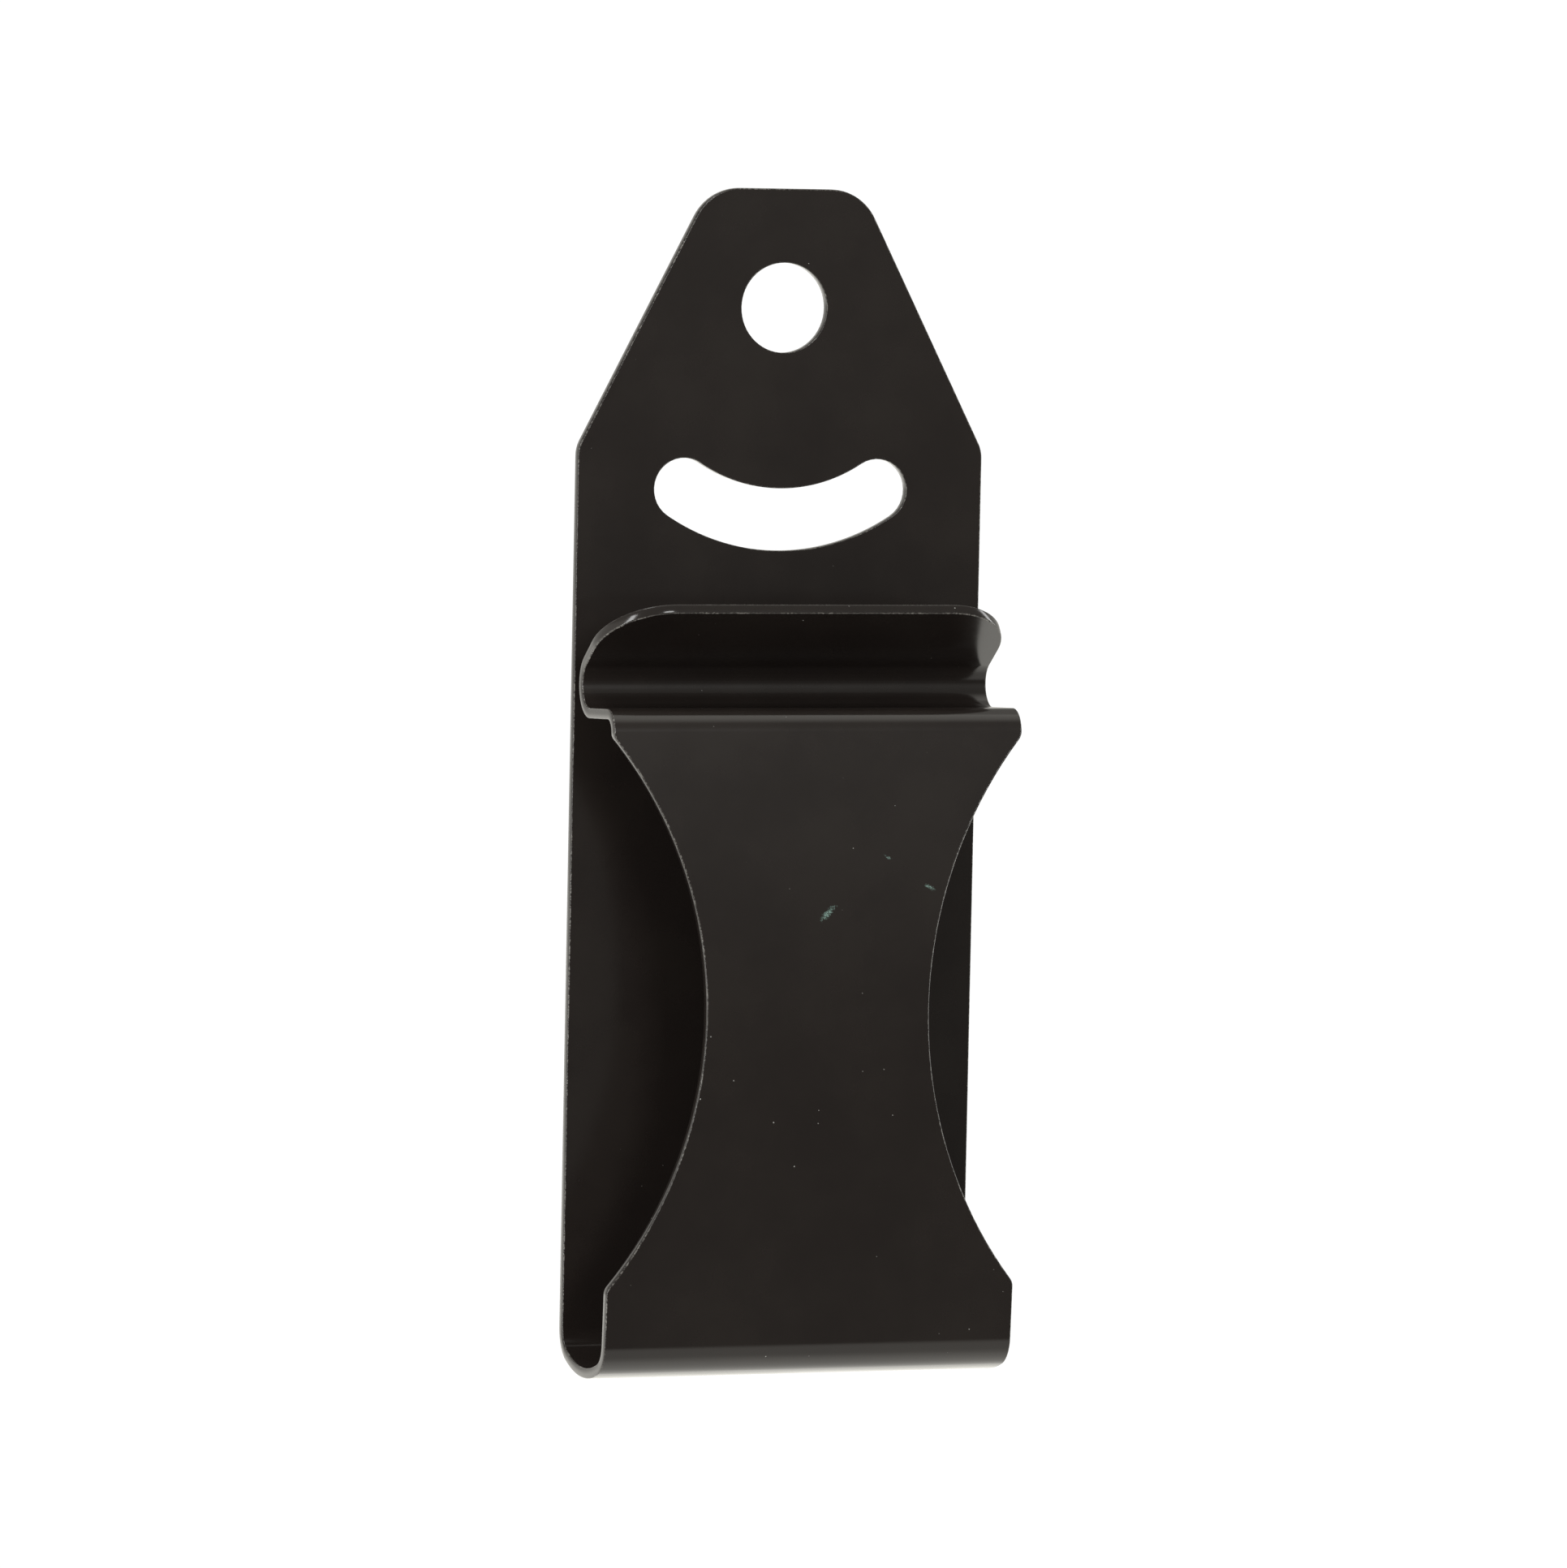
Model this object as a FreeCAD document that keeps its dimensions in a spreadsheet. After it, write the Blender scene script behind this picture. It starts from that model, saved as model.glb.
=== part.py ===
"""Hair dryer holder: one strip of spring steel, blanked and folded into a sprung clip.

The frame is +Z up, with X across the strip and the front of the holder facing -Y. The origin is
the centre of the mounting hole on the plate's back face, which is the face that lies on a wall.

Going along the strip, the zones are the back plate, the bottom bend, the front leaf, the catch bead
(ridge, shelf and valley) and the lead-in lip. Each zone is a body of its own, and neighbours meet
face to face on a plane across the strip. Leaf, catch and lip move together when the bend flexes.
"""
import FreeCAD, Part
import math
import os
import Sketcher
from FreeCAD import Vector

DIMENSIONS = {
    # strip
    "strip_width": 38.0,
    "sheet": 0.95,
    # back plate, heights and drops measured from the mounting hole
    "crown_rise": 10.57,
    "crown_half_width": 7.1,
    "crown_radius": 4.7,
    "shoulder_drop": 12.55,
    "shoulder_radius": 3.0,
    "bend_drop": 90.85,
    "hole_radius": 4.0,
    # curved adjusting slot
    "slot_centre_drop": 2.1,
    "slot_radius": 16.75,
    "slot_width": 5.55,
    "slot_half_angle": 32.8,
    # bottom bend, a flattened U of three arcs
    "holder_depth": 13.3,
    "bend_rise": 3.7,
    "bend_corner_radius": 3.0,
    # front leaf, bowed slightly forwards and waisted by one arc on each side
    "bow_radius": 370.0,
    "waist_drop": 61.7,
    "waist_half_width": 10.35,
    "waist_radius": 38.5,
    "leaf_corner_radius": 1.2,
    # catch bead, placed by the centres of its two bends
    "ridge_drop": 37.13,
    "ridge_depth": 10.7,
    "ridge_radius": 2.1,
    "valley_drop": 33.3,
    "valley_depth": 5.3,
    "valley_radius": 2.95,
    # lead-in lip
    "lip_tilt": 55.0,
    "lip_length": 8.85,
    "lip_corner_radius": 6.2,
}

NEAR = 0.01

document = FreeCAD.newDocument("HairDryerHolder")


def make_sheet():
    """Write the driving dimensions to the spreadsheet, one alias to a row."""
    dimension_sheet = document.addObject("Spreadsheet::Sheet", "dims")
    for row, (alias, number) in enumerate(DIMENSIONS.items(), start=1):
        dimension_sheet.set(f"A{row}", alias)
        dimension_sheet.set(f"B{row}", str(number))
        dimension_sheet.setAlias(f"B{row}", alias)
    document.recompute()
    return dimension_sheet


sheet = make_sheet()


def dim(alias):
    """Read one driving dimension back from the spreadsheet."""
    return float(sheet.get(alias))


class Outline:
    """A sketch on one of its body's origin planes, with every size bound to the spreadsheet."""

    def __init__(self, body, name, plane):
        self.sketch = body.newObject("Sketcher::SketchObject", name)
        origin_planes = {feature.Role: feature for feature in body.Origin.OriginFeatures}
        self.sketch.AttachmentSupport = [(origin_planes[plane], "")]
        self.sketch.MapMode = "FlatFace"

    def line(self, start, end, construction=False):
        segment = Part.LineSegment(Vector(*start, 0), Vector(*end, 0))
        return self.sketch.addGeometry(segment, construction)

    def arc(self, centre, radius, first_degrees, last_degrees, construction=False):
        circle = Part.Circle(Vector(*centre, 0), Vector(0, 0, 1), radius)
        first, last = math.radians(first_degrees), math.radians(last_degrees)
        return self.sketch.addGeometry(Part.ArcOfCircle(circle, first, last), construction)

    def circle(self, centre, radius):
        return self.sketch.addGeometry(Part.Circle(Vector(*centre, 0), Vector(0, 0, 1), radius), False)

    def rule(self, kind, *where):
        """Add a constraint that carries no size."""
        self.sketch.addConstraint(Sketcher.Constraint(kind, *where))

    def size(self, kind, *where, value, formula):
        """Add a constraint that carries a size, and bind it to a formula of the sheet's cells."""
        index = self.sketch.addConstraint(Sketcher.Constraint(kind, *where, value))
        label = f"{kind}_{index}"
        self.sketch.renameConstraint(index, label)
        self.sketch.setExpression(f"Constraints.{label}", formula)


# Sketcher's numbers for the points of a piece of geometry.
START, END, CENTRE = 1, 2, 3
AXIS_ACROSS, AXIS_UP, ORIGIN = -1, -2, (-1, 1)


def polar(centre, radius, degrees):
    """Give the point at a distance and direction from a centre, in a sketch's plane."""
    angle = math.radians(degrees)
    return centre[0] + radius * math.cos(angle), centre[1] + radius * math.sin(angle)


def new_body(label):
    body = document.addObject("PartDesign::Body", label)
    body.Label = label
    return body


def pad_across_strip(body, outline):
    """Pad a side profile over the whole width of the strip, evenly about the middle."""
    pad = body.newObject("PartDesign::Pad", "Across")
    pad.Profile = outline.sketch
    pad.SideType = "Symmetric"
    pad.setExpression("Length", "dims.strip_width")
    document.recompute()


def pocket_through(body, outline, name):
    """Cut a sketch through the whole body, and make sure that something was cut."""
    before = body.Shape.Volume
    pocket = body.newObject("PartDesign::Pocket", name)
    pocket.Profile = outline.sketch
    pocket.SideType = "Symmetric"
    pocket.Type = "ThroughAll"
    document.recompute()
    if body.Shape.Volume > before - NEAR:
        raise RuntimeError(f"{body.Label}: {name} cut nothing")


def round_edges(body, name, radius_alias, wanted):
    """Fillet the edges of the body's tip whose middle point passes a test."""
    tip = body.Tip
    chosen = []
    for number, edge in enumerate(tip.Shape.Edges, start=1):
        middle = edge.valueAt((edge.FirstParameter + edge.LastParameter) / 2)
        if wanted(middle):
            chosen.append(f"Edge{number}")
    fillet = body.newObject("PartDesign::Fillet", name)
    fillet.Base = (tip, chosen)
    fillet.setExpression("Radius", f"dims.{radius_alias}")
    document.recompute()


def make_back_plate():
    """Flat plate with a tapered crown, the round mounting hole and the curved slot."""
    body = new_body("back_plate")
    draw_plate_outline(body)
    draw_mounting_hole(body)
    draw_curved_slot(body)
    crown, shoulder = dim("crown_rise"), -dim("shoulder_drop")
    crown_half, side = dim("crown_half_width"), dim("strip_width") / 2
    round_edges(
        body, "CrownCorners", "crown_radius",
        lambda at: abs(at.z - crown) < NEAR and abs(abs(at.x) - crown_half) < NEAR,
    )
    round_edges(
        body, "Shoulders", "shoulder_radius",
        lambda at: abs(at.z - shoulder) < NEAR and abs(abs(at.x) - side) < NEAR,
    )
    return body


def draw_plate_outline(body):
    side, crown_half = dim("strip_width") / 2, dim("crown_half_width")
    crown, shoulder, foot = dim("crown_rise"), -dim("shoulder_drop"), -dim("bend_drop")
    corners = [
        (-side, foot), (-side, shoulder), (-crown_half, crown),
        (crown_half, crown), (side, shoulder), (side, foot),
    ]
    outline = Outline(body, "PlateOutline", "XZ_Plane")
    left, left_slant, top, right_slant, right, bottom = (
        outline.line(start, end) for start, end in zip(corners, corners[1:] + corners[:1])
    )
    chain = [left, left_slant, top, right_slant, right, bottom]
    for first, second in zip(chain, chain[1:] + chain[:1]):
        outline.rule("Coincident", first, END, second, START)
    outline.rule("Symmetric", top, START, top, END, AXIS_UP)
    outline.rule("Symmetric", left, END, right, START, AXIS_UP)
    outline.rule("Symmetric", left, START, right, END, AXIS_UP)
    outline.rule("Vertical", left)
    outline.size(
        "DistanceX", top, START, top, END, value=2 * crown_half, formula="2 * dims.crown_half_width",
    )
    outline.size("DistanceX", left, START, right, END, value=2 * side, formula="dims.strip_width")
    outline.size("DistanceY", *ORIGIN, top, START, value=crown, formula="dims.crown_rise")
    outline.size("DistanceY", left, END, *ORIGIN, value=-shoulder, formula="dims.shoulder_drop")
    outline.size("DistanceY", left, START, *ORIGIN, value=-foot, formula="dims.bend_drop")
    pad = body.newObject("PartDesign::Pad", "Plate")
    pad.Profile = outline.sketch
    pad.setExpression("Length", "dims.sheet")
    document.recompute()


def draw_mounting_hole(body):
    outline = Outline(body, "HoleOutline", "XZ_Plane")
    hole = outline.circle((0, 0), dim("hole_radius"))
    outline.rule("Coincident", hole, CENTRE, *ORIGIN)
    outline.size("Radius", hole, value=dim("hole_radius"), formula="dims.hole_radius")
    pocket_through(body, outline, "MountingHole")


def draw_curved_slot(body):
    """The slot is a band of an arc whose centre is just below the mounting hole."""
    drop, radius = dim("slot_centre_drop"), dim("slot_radius")
    half_width, half_angle = dim("slot_width") / 2, dim("slot_half_angle")
    swing = math.radians(half_angle)
    centre = (0, -drop)
    left_end = (-radius * math.sin(swing), -drop - radius * math.cos(swing))
    right_end = (-left_end[0], left_end[1])
    outline = Outline(body, "SlotOutline", "XZ_Plane")
    outer = outline.arc(centre, radius + half_width, -90 - half_angle, -90 + half_angle)
    right_cap = outline.arc(right_end, half_width, -90 + half_angle, 90 + half_angle)
    inner = outline.arc(centre, radius - half_width, -90 - half_angle, -90 + half_angle)
    left_cap = outline.arc(left_end, half_width, 90 - half_angle, 270 - half_angle)
    spoke = outline.line(centre, right_end, construction=True)
    outline.rule("Tangent", outer, END, right_cap, START)
    outline.rule("Tangent", right_cap, END, inner, END)
    outline.rule("Tangent", inner, START, left_cap, START)
    outline.rule("Tangent", left_cap, END, outer, START)
    outline.rule("Coincident", outer, CENTRE, inner, CENTRE)
    outline.rule("PointOnObject", outer, CENTRE, AXIS_UP)
    outline.rule("Horizontal", left_cap, CENTRE, right_cap, CENTRE)
    outline.rule("Coincident", spoke, START, outer, CENTRE)
    outline.rule("Coincident", spoke, END, right_cap, CENTRE)
    outline.size("DistanceY", outer, CENTRE, *ORIGIN, value=drop, formula="dims.slot_centre_drop")
    outline.size("Radius", right_cap, value=half_width, formula="dims.slot_width / 2")
    outline.size("Distance", spoke, value=radius, formula="dims.slot_radius")
    outline.size(
        "Angle", AXIS_ACROSS, spoke, value=swing - math.pi / 2,
        formula="(dims.slot_half_angle - 90) * 1 deg",
    )
    pocket_through(body, outline, "CurvedSlot")


class LeafLine:
    """The leaf's front face in side view: a shallow arc, tangent to the bend and to the ridge.

    A spoke joins each bend's centre to the point where the shallow arc touches that bend. Its
    length is the bend's radius, and it points at the shallow arc's own centre.
    """

    def __init__(self, outline, construction):
        corner, ridge_radius, bow = dim("bend_corner_radius"), dim("ridge_radius"), dim("bow_radius")
        bend = Vector(corner - dim("holder_depth"), -dim("bend_drop"), 0)
        ridge = Vector(-dim("ridge_depth"), -dim("ridge_drop"), 0)
        centre = meeting_point(bend, bow - corner, ridge, bow - ridge_radius)
        toward_bend, toward_ridge = (bend - centre).normalize(), (ridge - centre).normalize()
        self.foot_direction = math.degrees(math.atan2(toward_bend.y, toward_bend.x)) % 360
        self.head_direction = math.degrees(math.atan2(toward_ridge.y, toward_ridge.x)) % 360
        self.centre, self.foot, self.head = centre, centre + toward_bend * bow, centre + toward_ridge * bow
        self.front = outline.arc(
            (centre.x, centre.y), bow, self.head_direction, self.foot_direction, construction,
        )
        self.foot_spoke = outline.line((bend.x, bend.y), (self.foot.x, self.foot.y), construction=True)
        self.head_spoke = outline.line((ridge.x, ridge.y), (self.head.x, self.head.y), construction=True)
        outline.rule("Coincident", self.foot_spoke, END, self.front, END)
        outline.rule("Coincident", self.head_spoke, END, self.front, START)
        outline.rule("PointOnObject", self.front, CENTRE, self.foot_spoke)
        outline.rule("PointOnObject", self.front, CENTRE, self.head_spoke)
        outline.size("Radius", self.front, value=bow, formula="dims.bow_radius")
        outline.size("Distance", self.foot_spoke, value=corner, formula="dims.bend_corner_radius")
        outline.size("Distance", self.head_spoke, value=ridge_radius, formula="dims.ridge_radius")
        outline.size(
            "DistanceX", self.foot_spoke, START, *ORIGIN, value=-bend.x,
            formula="dims.holder_depth - dims.bend_corner_radius",
        )
        outline.size("DistanceY", self.foot_spoke, START, *ORIGIN, value=-bend.y, formula="dims.bend_drop")
        outline.size(
            "DistanceX", self.head_spoke, START, *ORIGIN, value=-ridge.x, formula="dims.ridge_depth",
        )
        outline.size("DistanceY", self.head_spoke, START, *ORIGIN, value=-ridge.y, formula="dims.ridge_drop")


def meeting_point(first, first_reach, second, second_reach):
    """Find the point at two given distances from two others, on the side of the back plate."""
    span = second - first
    along = (span.Length ** 2 + first_reach ** 2 - second_reach ** 2) / (2 * span.Length)
    aside = math.sqrt(first_reach ** 2 - along ** 2)
    unit = Vector(span).normalize()
    return first + unit * along + Vector(unit.y, -unit.x, 0) * aside


def make_bottom_bend():
    """Flattened U: a tight arc at each side, joined by one wide arc underneath."""
    body = new_body("bottom_bend")
    depth, rise, corner = dim("holder_depth"), dim("bend_rise"), dim("bend_corner_radius")
    thick, top = dim("sheet"), -dim("bend_drop")
    reach = depth / 2 - corner
    wide = (reach ** 2 + rise ** 2 - corner ** 2) / (2 * (rise - corner))
    tip = math.degrees(math.atan2(wide - rise, reach))
    back_centre, front_centre = (-corner, top), (-depth + corner, top)
    wide_centre = (-depth / 2, top + wide - rise)
    outline = Outline(body, "BendOutline", "YZ_Plane")
    leaf_line = LeafLine(outline, construction=True)
    leaf_side = leaf_line.foot_direction
    chains = []
    for offset in (0, thick):
        back_arc = outline.arc(back_centre, corner - offset, -tip, 0)
        wide_arc = outline.arc(wide_centre, wide - offset, -180 + tip, -tip)
        front_arc = outline.arc(front_centre, corner - offset, leaf_side, 180 + tip)
        outline.rule("Tangent", back_arc, START, wide_arc, END)
        outline.rule("Tangent", wide_arc, START, front_arc, END)
        chains.append((back_arc, wide_arc, front_arc))
    (back_outer, wide_outer, front_outer), (back_inner, wide_inner, front_inner) = chains
    back_end = outline.line((0, top), (-thick, top))
    front_end = outline.line(
        polar(front_centre, corner, leaf_side), polar(front_centre, corner - thick, leaf_side),
    )
    outline.rule("Coincident", back_end, START, back_outer, END)
    outline.rule("Coincident", back_end, END, back_inner, END)
    outline.rule("Coincident", front_end, START, front_outer, START)
    outline.rule("Coincident", front_end, END, front_inner, START)
    outline.rule("Coincident", front_end, START, leaf_line.foot_spoke, END)
    outline.rule("PointOnObject", front_end, END, leaf_line.foot_spoke)
    outline.rule("Coincident", front_outer, CENTRE, leaf_line.foot_spoke, START)
    outline.rule("Coincident", front_outer, CENTRE, front_inner, CENTRE)
    outline.rule("Coincident", back_outer, CENTRE, back_inner, CENTRE)
    outline.rule("Coincident", wide_outer, CENTRE, wide_inner, CENTRE)
    outline.rule("Horizontal", back_end)
    outline.rule("Horizontal", back_outer, CENTRE, back_end, START)
    outline.rule("Horizontal", back_outer, CENTRE, front_outer, CENTRE)
    outline.rule("PointOnObject", back_end, START, AXIS_UP)
    outline.size("DistanceX", back_end, END, back_end, START, value=thick, formula="dims.sheet")
    outline.size("Radius", back_outer, value=corner, formula="dims.bend_corner_radius")
    outline.size(
        "Radius", wide_outer, value=wide,
        formula="((dims.holder_depth / 2 - dims.bend_corner_radius) ^ 2 + dims.bend_rise ^ 2"
                " - dims.bend_corner_radius ^ 2) / (2 * (dims.bend_rise - dims.bend_corner_radius))",
    )
    pad_across_strip(body, outline)
    return body


def make_front_leaf():
    """Leaf that bows slightly forwards, waisted by an arc cut into each side."""
    body = new_body("front_leaf")
    thick, bow = dim("sheet"), dim("bow_radius")
    profile = Outline(body, "LeafProfile", "YZ_Plane")
    leaf_line = LeafLine(profile, construction=False)
    centre = (leaf_line.centre.x, leaf_line.centre.y)
    head_direction, foot_direction = leaf_line.head_direction, leaf_line.foot_direction
    back = profile.arc(centre, bow - thick, head_direction, foot_direction)
    head = profile.line(polar(centre, bow, head_direction), polar(centre, bow - thick, head_direction))
    foot = profile.line(polar(centre, bow, foot_direction), polar(centre, bow - thick, foot_direction))
    profile.rule("Coincident", back, CENTRE, leaf_line.front, CENTRE)
    profile.rule("Coincident", head, START, leaf_line.front, START)
    profile.rule("Coincident", head, END, back, START)
    profile.rule("Coincident", foot, START, leaf_line.front, END)
    profile.rule("Coincident", foot, END, back, END)
    profile.rule("PointOnObject", head, END, leaf_line.head_spoke)
    profile.rule("PointOnObject", foot, END, leaf_line.foot_spoke)
    profile.size("Radius", back, value=bow - thick, formula="dims.bow_radius - dims.sheet")
    pad_across_strip(body, profile)
    cut_waist(body)
    return body


def cut_waist(body):
    """Cut one large circle into each side of the leaf and round the corners that it leaves."""
    radius, waist_half, waist = dim("waist_radius"), dim("waist_half_width"), -dim("waist_drop")
    outline = Outline(body, "WaistOutline", "XZ_Plane")
    left = outline.circle((-waist_half - radius, waist), radius)
    right = outline.circle((waist_half + radius, waist), radius)
    outline.rule("Symmetric", left, CENTRE, right, CENTRE, AXIS_UP)
    outline.rule("Equal", left, right)
    outline.size("Radius", right, value=radius, formula="dims.waist_radius")
    outline.size("DistanceY", right, CENTRE, *ORIGIN, value=-waist, formula="dims.waist_drop")
    outline.size(
        "DistanceX", *ORIGIN, right, CENTRE, value=waist_half + radius,
        formula="dims.waist_half_width + dims.waist_radius",
    )
    pocket_through(body, outline, "Waist")
    side = dim("strip_width") / 2
    half_height = math.sqrt(radius ** 2 - (radius + waist_half - side) ** 2)
    round_edges(
        body, "LeafCorners", "leaf_corner_radius",
        lambda at: abs(abs(at.x) - side) < NEAR and abs(abs(at.z - waist) - half_height) < NEAR,
    )


def make_catch_bead():
    """Ridge, shelf and valley as one bent band of constant thickness."""
    body = new_body("catch_bead")
    thick, tilt = dim("sheet"), dim("lip_tilt")
    ridge_out, valley_out = dim("ridge_radius"), dim("valley_radius")
    ridge_in, valley_in = ridge_out - thick, valley_out - thick
    ridge, valley = (-dim("ridge_depth"), -dim("ridge_drop")), (-dim("valley_depth"), -dim("valley_drop"))
    # The shelf's top is the tangent that crosses from above the ridge's centre to below the valley's.
    across, up = valley[0] - ridge[0], valley[1] - ridge[1]
    lean = math.acos((ridge_out + valley_in) / math.hypot(across, up))
    shelf_up = math.degrees(math.atan2(up, across) + lean)
    shelf_down = shelf_up - 180

    outline = Outline(body, "CatchProfile", "YZ_Plane")
    leaf_line = LeafLine(outline, construction=True)
    leaf_side = leaf_line.head_direction
    ridge_outer = outline.arc(ridge, ridge_out, shelf_up, leaf_side)
    ridge_inner = outline.arc(ridge, ridge_in, shelf_up, leaf_side)
    shelf_top = outline.line(polar(ridge, ridge_out, shelf_up), polar(valley, valley_in, shelf_down))
    shelf_under = outline.line(polar(ridge, ridge_in, shelf_up), polar(valley, valley_out, shelf_down))
    valley_inner = outline.arc(valley, valley_in, shelf_down, tilt)
    valley_outer = outline.arc(valley, valley_out, shelf_down, tilt)
    leaf_end = outline.line(polar(ridge, ridge_out, leaf_side), polar(ridge, ridge_in, leaf_side))
    lip_end = outline.line(polar(valley, valley_in, tilt), polar(valley, valley_out, tilt))

    outline.rule("Coincident", ridge_outer, CENTRE, leaf_line.head_spoke, START)
    outline.rule("Coincident", ridge_outer, CENTRE, ridge_inner, CENTRE)
    outline.rule("Coincident", valley_outer, CENTRE, valley_inner, CENTRE)
    outline.rule("Tangent", ridge_outer, START, shelf_top, START)
    outline.rule("Tangent", shelf_top, END, valley_inner, START)
    outline.rule("Tangent", ridge_inner, START, shelf_under, START)
    outline.rule("Tangent", shelf_under, END, valley_outer, START)
    outline.rule("Coincident", leaf_end, START, ridge_outer, END)
    outline.rule("Coincident", leaf_end, END, ridge_inner, END)
    outline.rule("Coincident", leaf_end, START, leaf_line.head_spoke, END)
    outline.rule("PointOnObject", leaf_end, END, leaf_line.head_spoke)
    outline.rule("Coincident", lip_end, START, valley_inner, END)
    outline.rule("Coincident", lip_end, END, valley_outer, END)
    outline.rule("PointOnObject", valley_outer, CENTRE, lip_end)
    outline.size("Radius", ridge_inner, value=ridge_in, formula="dims.ridge_radius - dims.sheet")
    outline.size("Radius", valley_outer, value=valley_out, formula="dims.valley_radius")
    outline.size("Radius", valley_inner, value=valley_in, formula="dims.valley_radius - dims.sheet")
    outline.size(
        "DistanceX", valley_outer, CENTRE, *ORIGIN, value=-valley[0], formula="dims.valley_depth",
    )
    outline.size(
        "DistanceY", valley_outer, CENTRE, *ORIGIN, value=-valley[1], formula="dims.valley_drop",
    )
    outline.size(
        "Angle", AXIS_ACROSS, lip_end, value=math.radians(tilt), formula="dims.lip_tilt * 1 deg",
    )
    pad_across_strip(body, outline)
    return body


def make_lead_in_lip():
    """Flat lip that flares up and forwards, with its two free corners well rounded."""
    body = new_body("lead_in_lip")
    thick, length, tilt = dim("sheet"), dim("lip_length"), math.radians(dim("lip_tilt"))
    radius = dim("valley_radius")
    outward = Vector(math.cos(tilt), math.sin(tilt), 0)
    along = Vector(-math.sin(tilt), math.cos(tilt), 0)
    centre = Vector(-dim("valley_depth"), -dim("valley_drop"), 0)
    root_under = centre + outward * (radius - thick)
    root_over = centre + outward * radius
    end_over = root_over + along * length
    end_under = root_under + along * length
    corners = [(at.x, at.y) for at in (root_under, root_over, end_over, end_under)]
    outline = Outline(body, "LipProfile", "YZ_Plane")
    root, over, end, under = (
        outline.line(start, finish) for start, finish in zip(corners, corners[1:] + corners[:1])
    )
    spoke = outline.line((centre.x, centre.y), corners[0], construction=True)
    chain = [root, over, end, under]
    for first, second in zip(chain, chain[1:] + chain[:1]):
        outline.rule("Coincident", first, END, second, START)
    outline.rule("Coincident", spoke, END, root, START)
    outline.rule("Parallel", spoke, root)
    outline.rule("Perpendicular", root, over)
    outline.rule("Perpendicular", over, end)
    outline.rule("Perpendicular", end, under)
    outline.size("DistanceX", spoke, START, *ORIGIN, value=-centre.x, formula="dims.valley_depth")
    outline.size("DistanceY", spoke, START, *ORIGIN, value=-centre.y, formula="dims.valley_drop")
    outline.size("Distance", spoke, value=radius - thick, formula="dims.valley_radius - dims.sheet")
    outline.size("Distance", root, value=thick, formula="dims.sheet")
    outline.size("Distance", over, value=length, formula="dims.lip_length")
    outline.size("Angle", AXIS_ACROSS, spoke, value=tilt, formula="dims.lip_tilt * 1 deg")
    pad_across_strip(body, outline)

    side = dim("strip_width") / 2
    end_middle = (end_over + end_under) / 2
    round_edges(
        body, "LipCorners", "lip_corner_radius",
        lambda at: abs(abs(at.x) - side) < NEAR and abs(at.y - end_middle.x) < NEAR
        and abs(at.z - end_middle.y) < NEAR,
    )
    return body


def check_document():
    """Stop if any object failed, because a recompute can leave one failed and say nothing."""
    for item in document.Objects:
        if "Invalid" in item.State or "Error" in item.State:
            raise RuntimeError(f"{item.Label} is {item.State}")


def export(body):
    """Check one body's solid and write it to its own file."""
    solid = body.Shape
    if solid.isNull() or not solid.isValid() or len(solid.Solids) != 1:
        raise RuntimeError(f"{body.Label} isn't one valid solid")
    solid.exportStep(f"parts/{body.Label}.step")
    box = solid.BoundBox
    print(
        f"{body.Label}: {solid.Volume:.2f} mm3, x {box.XMin:.2f} to {box.XMax:.2f},"
        f" y {box.YMin:.2f} to {box.YMax:.2f}, z {box.ZMin:.2f} to {box.ZMax:.2f}"
    )


def main():
    bodies = [
        make_back_plate(),
        make_bottom_bend(),
        make_front_leaf(),
        make_catch_bead(),
        make_lead_in_lip(),
    ]
    document.recompute()
    check_document()
    os.makedirs("parts", exist_ok=True)
    for body in bodies:
        export(body)


main()
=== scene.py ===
"""Black-lacquered spring steel clip that holds a hair dryer, bent from one strip of sheet.

The strip has five zones: a flat back plate, a bend at the foot, a bowed front leaf, a catch bead and a lead-in lip.
Each zone stands for the CAD node of the same name. Sizes of the shape are in millimetres and are turned into metres
where a vertex is placed. The frame is that of the CAD: x across the strip, -y towards the user, z up.
"""

import logging
import math
from abc import ABC, abstractmethod
from dataclasses import dataclass, field, replace
from enum import Enum
from typing import Sequence

import bmesh
import bpy
from mathutils import Matrix, Vector
from mathutils.geometry import delaunay_2d_cdt


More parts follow.
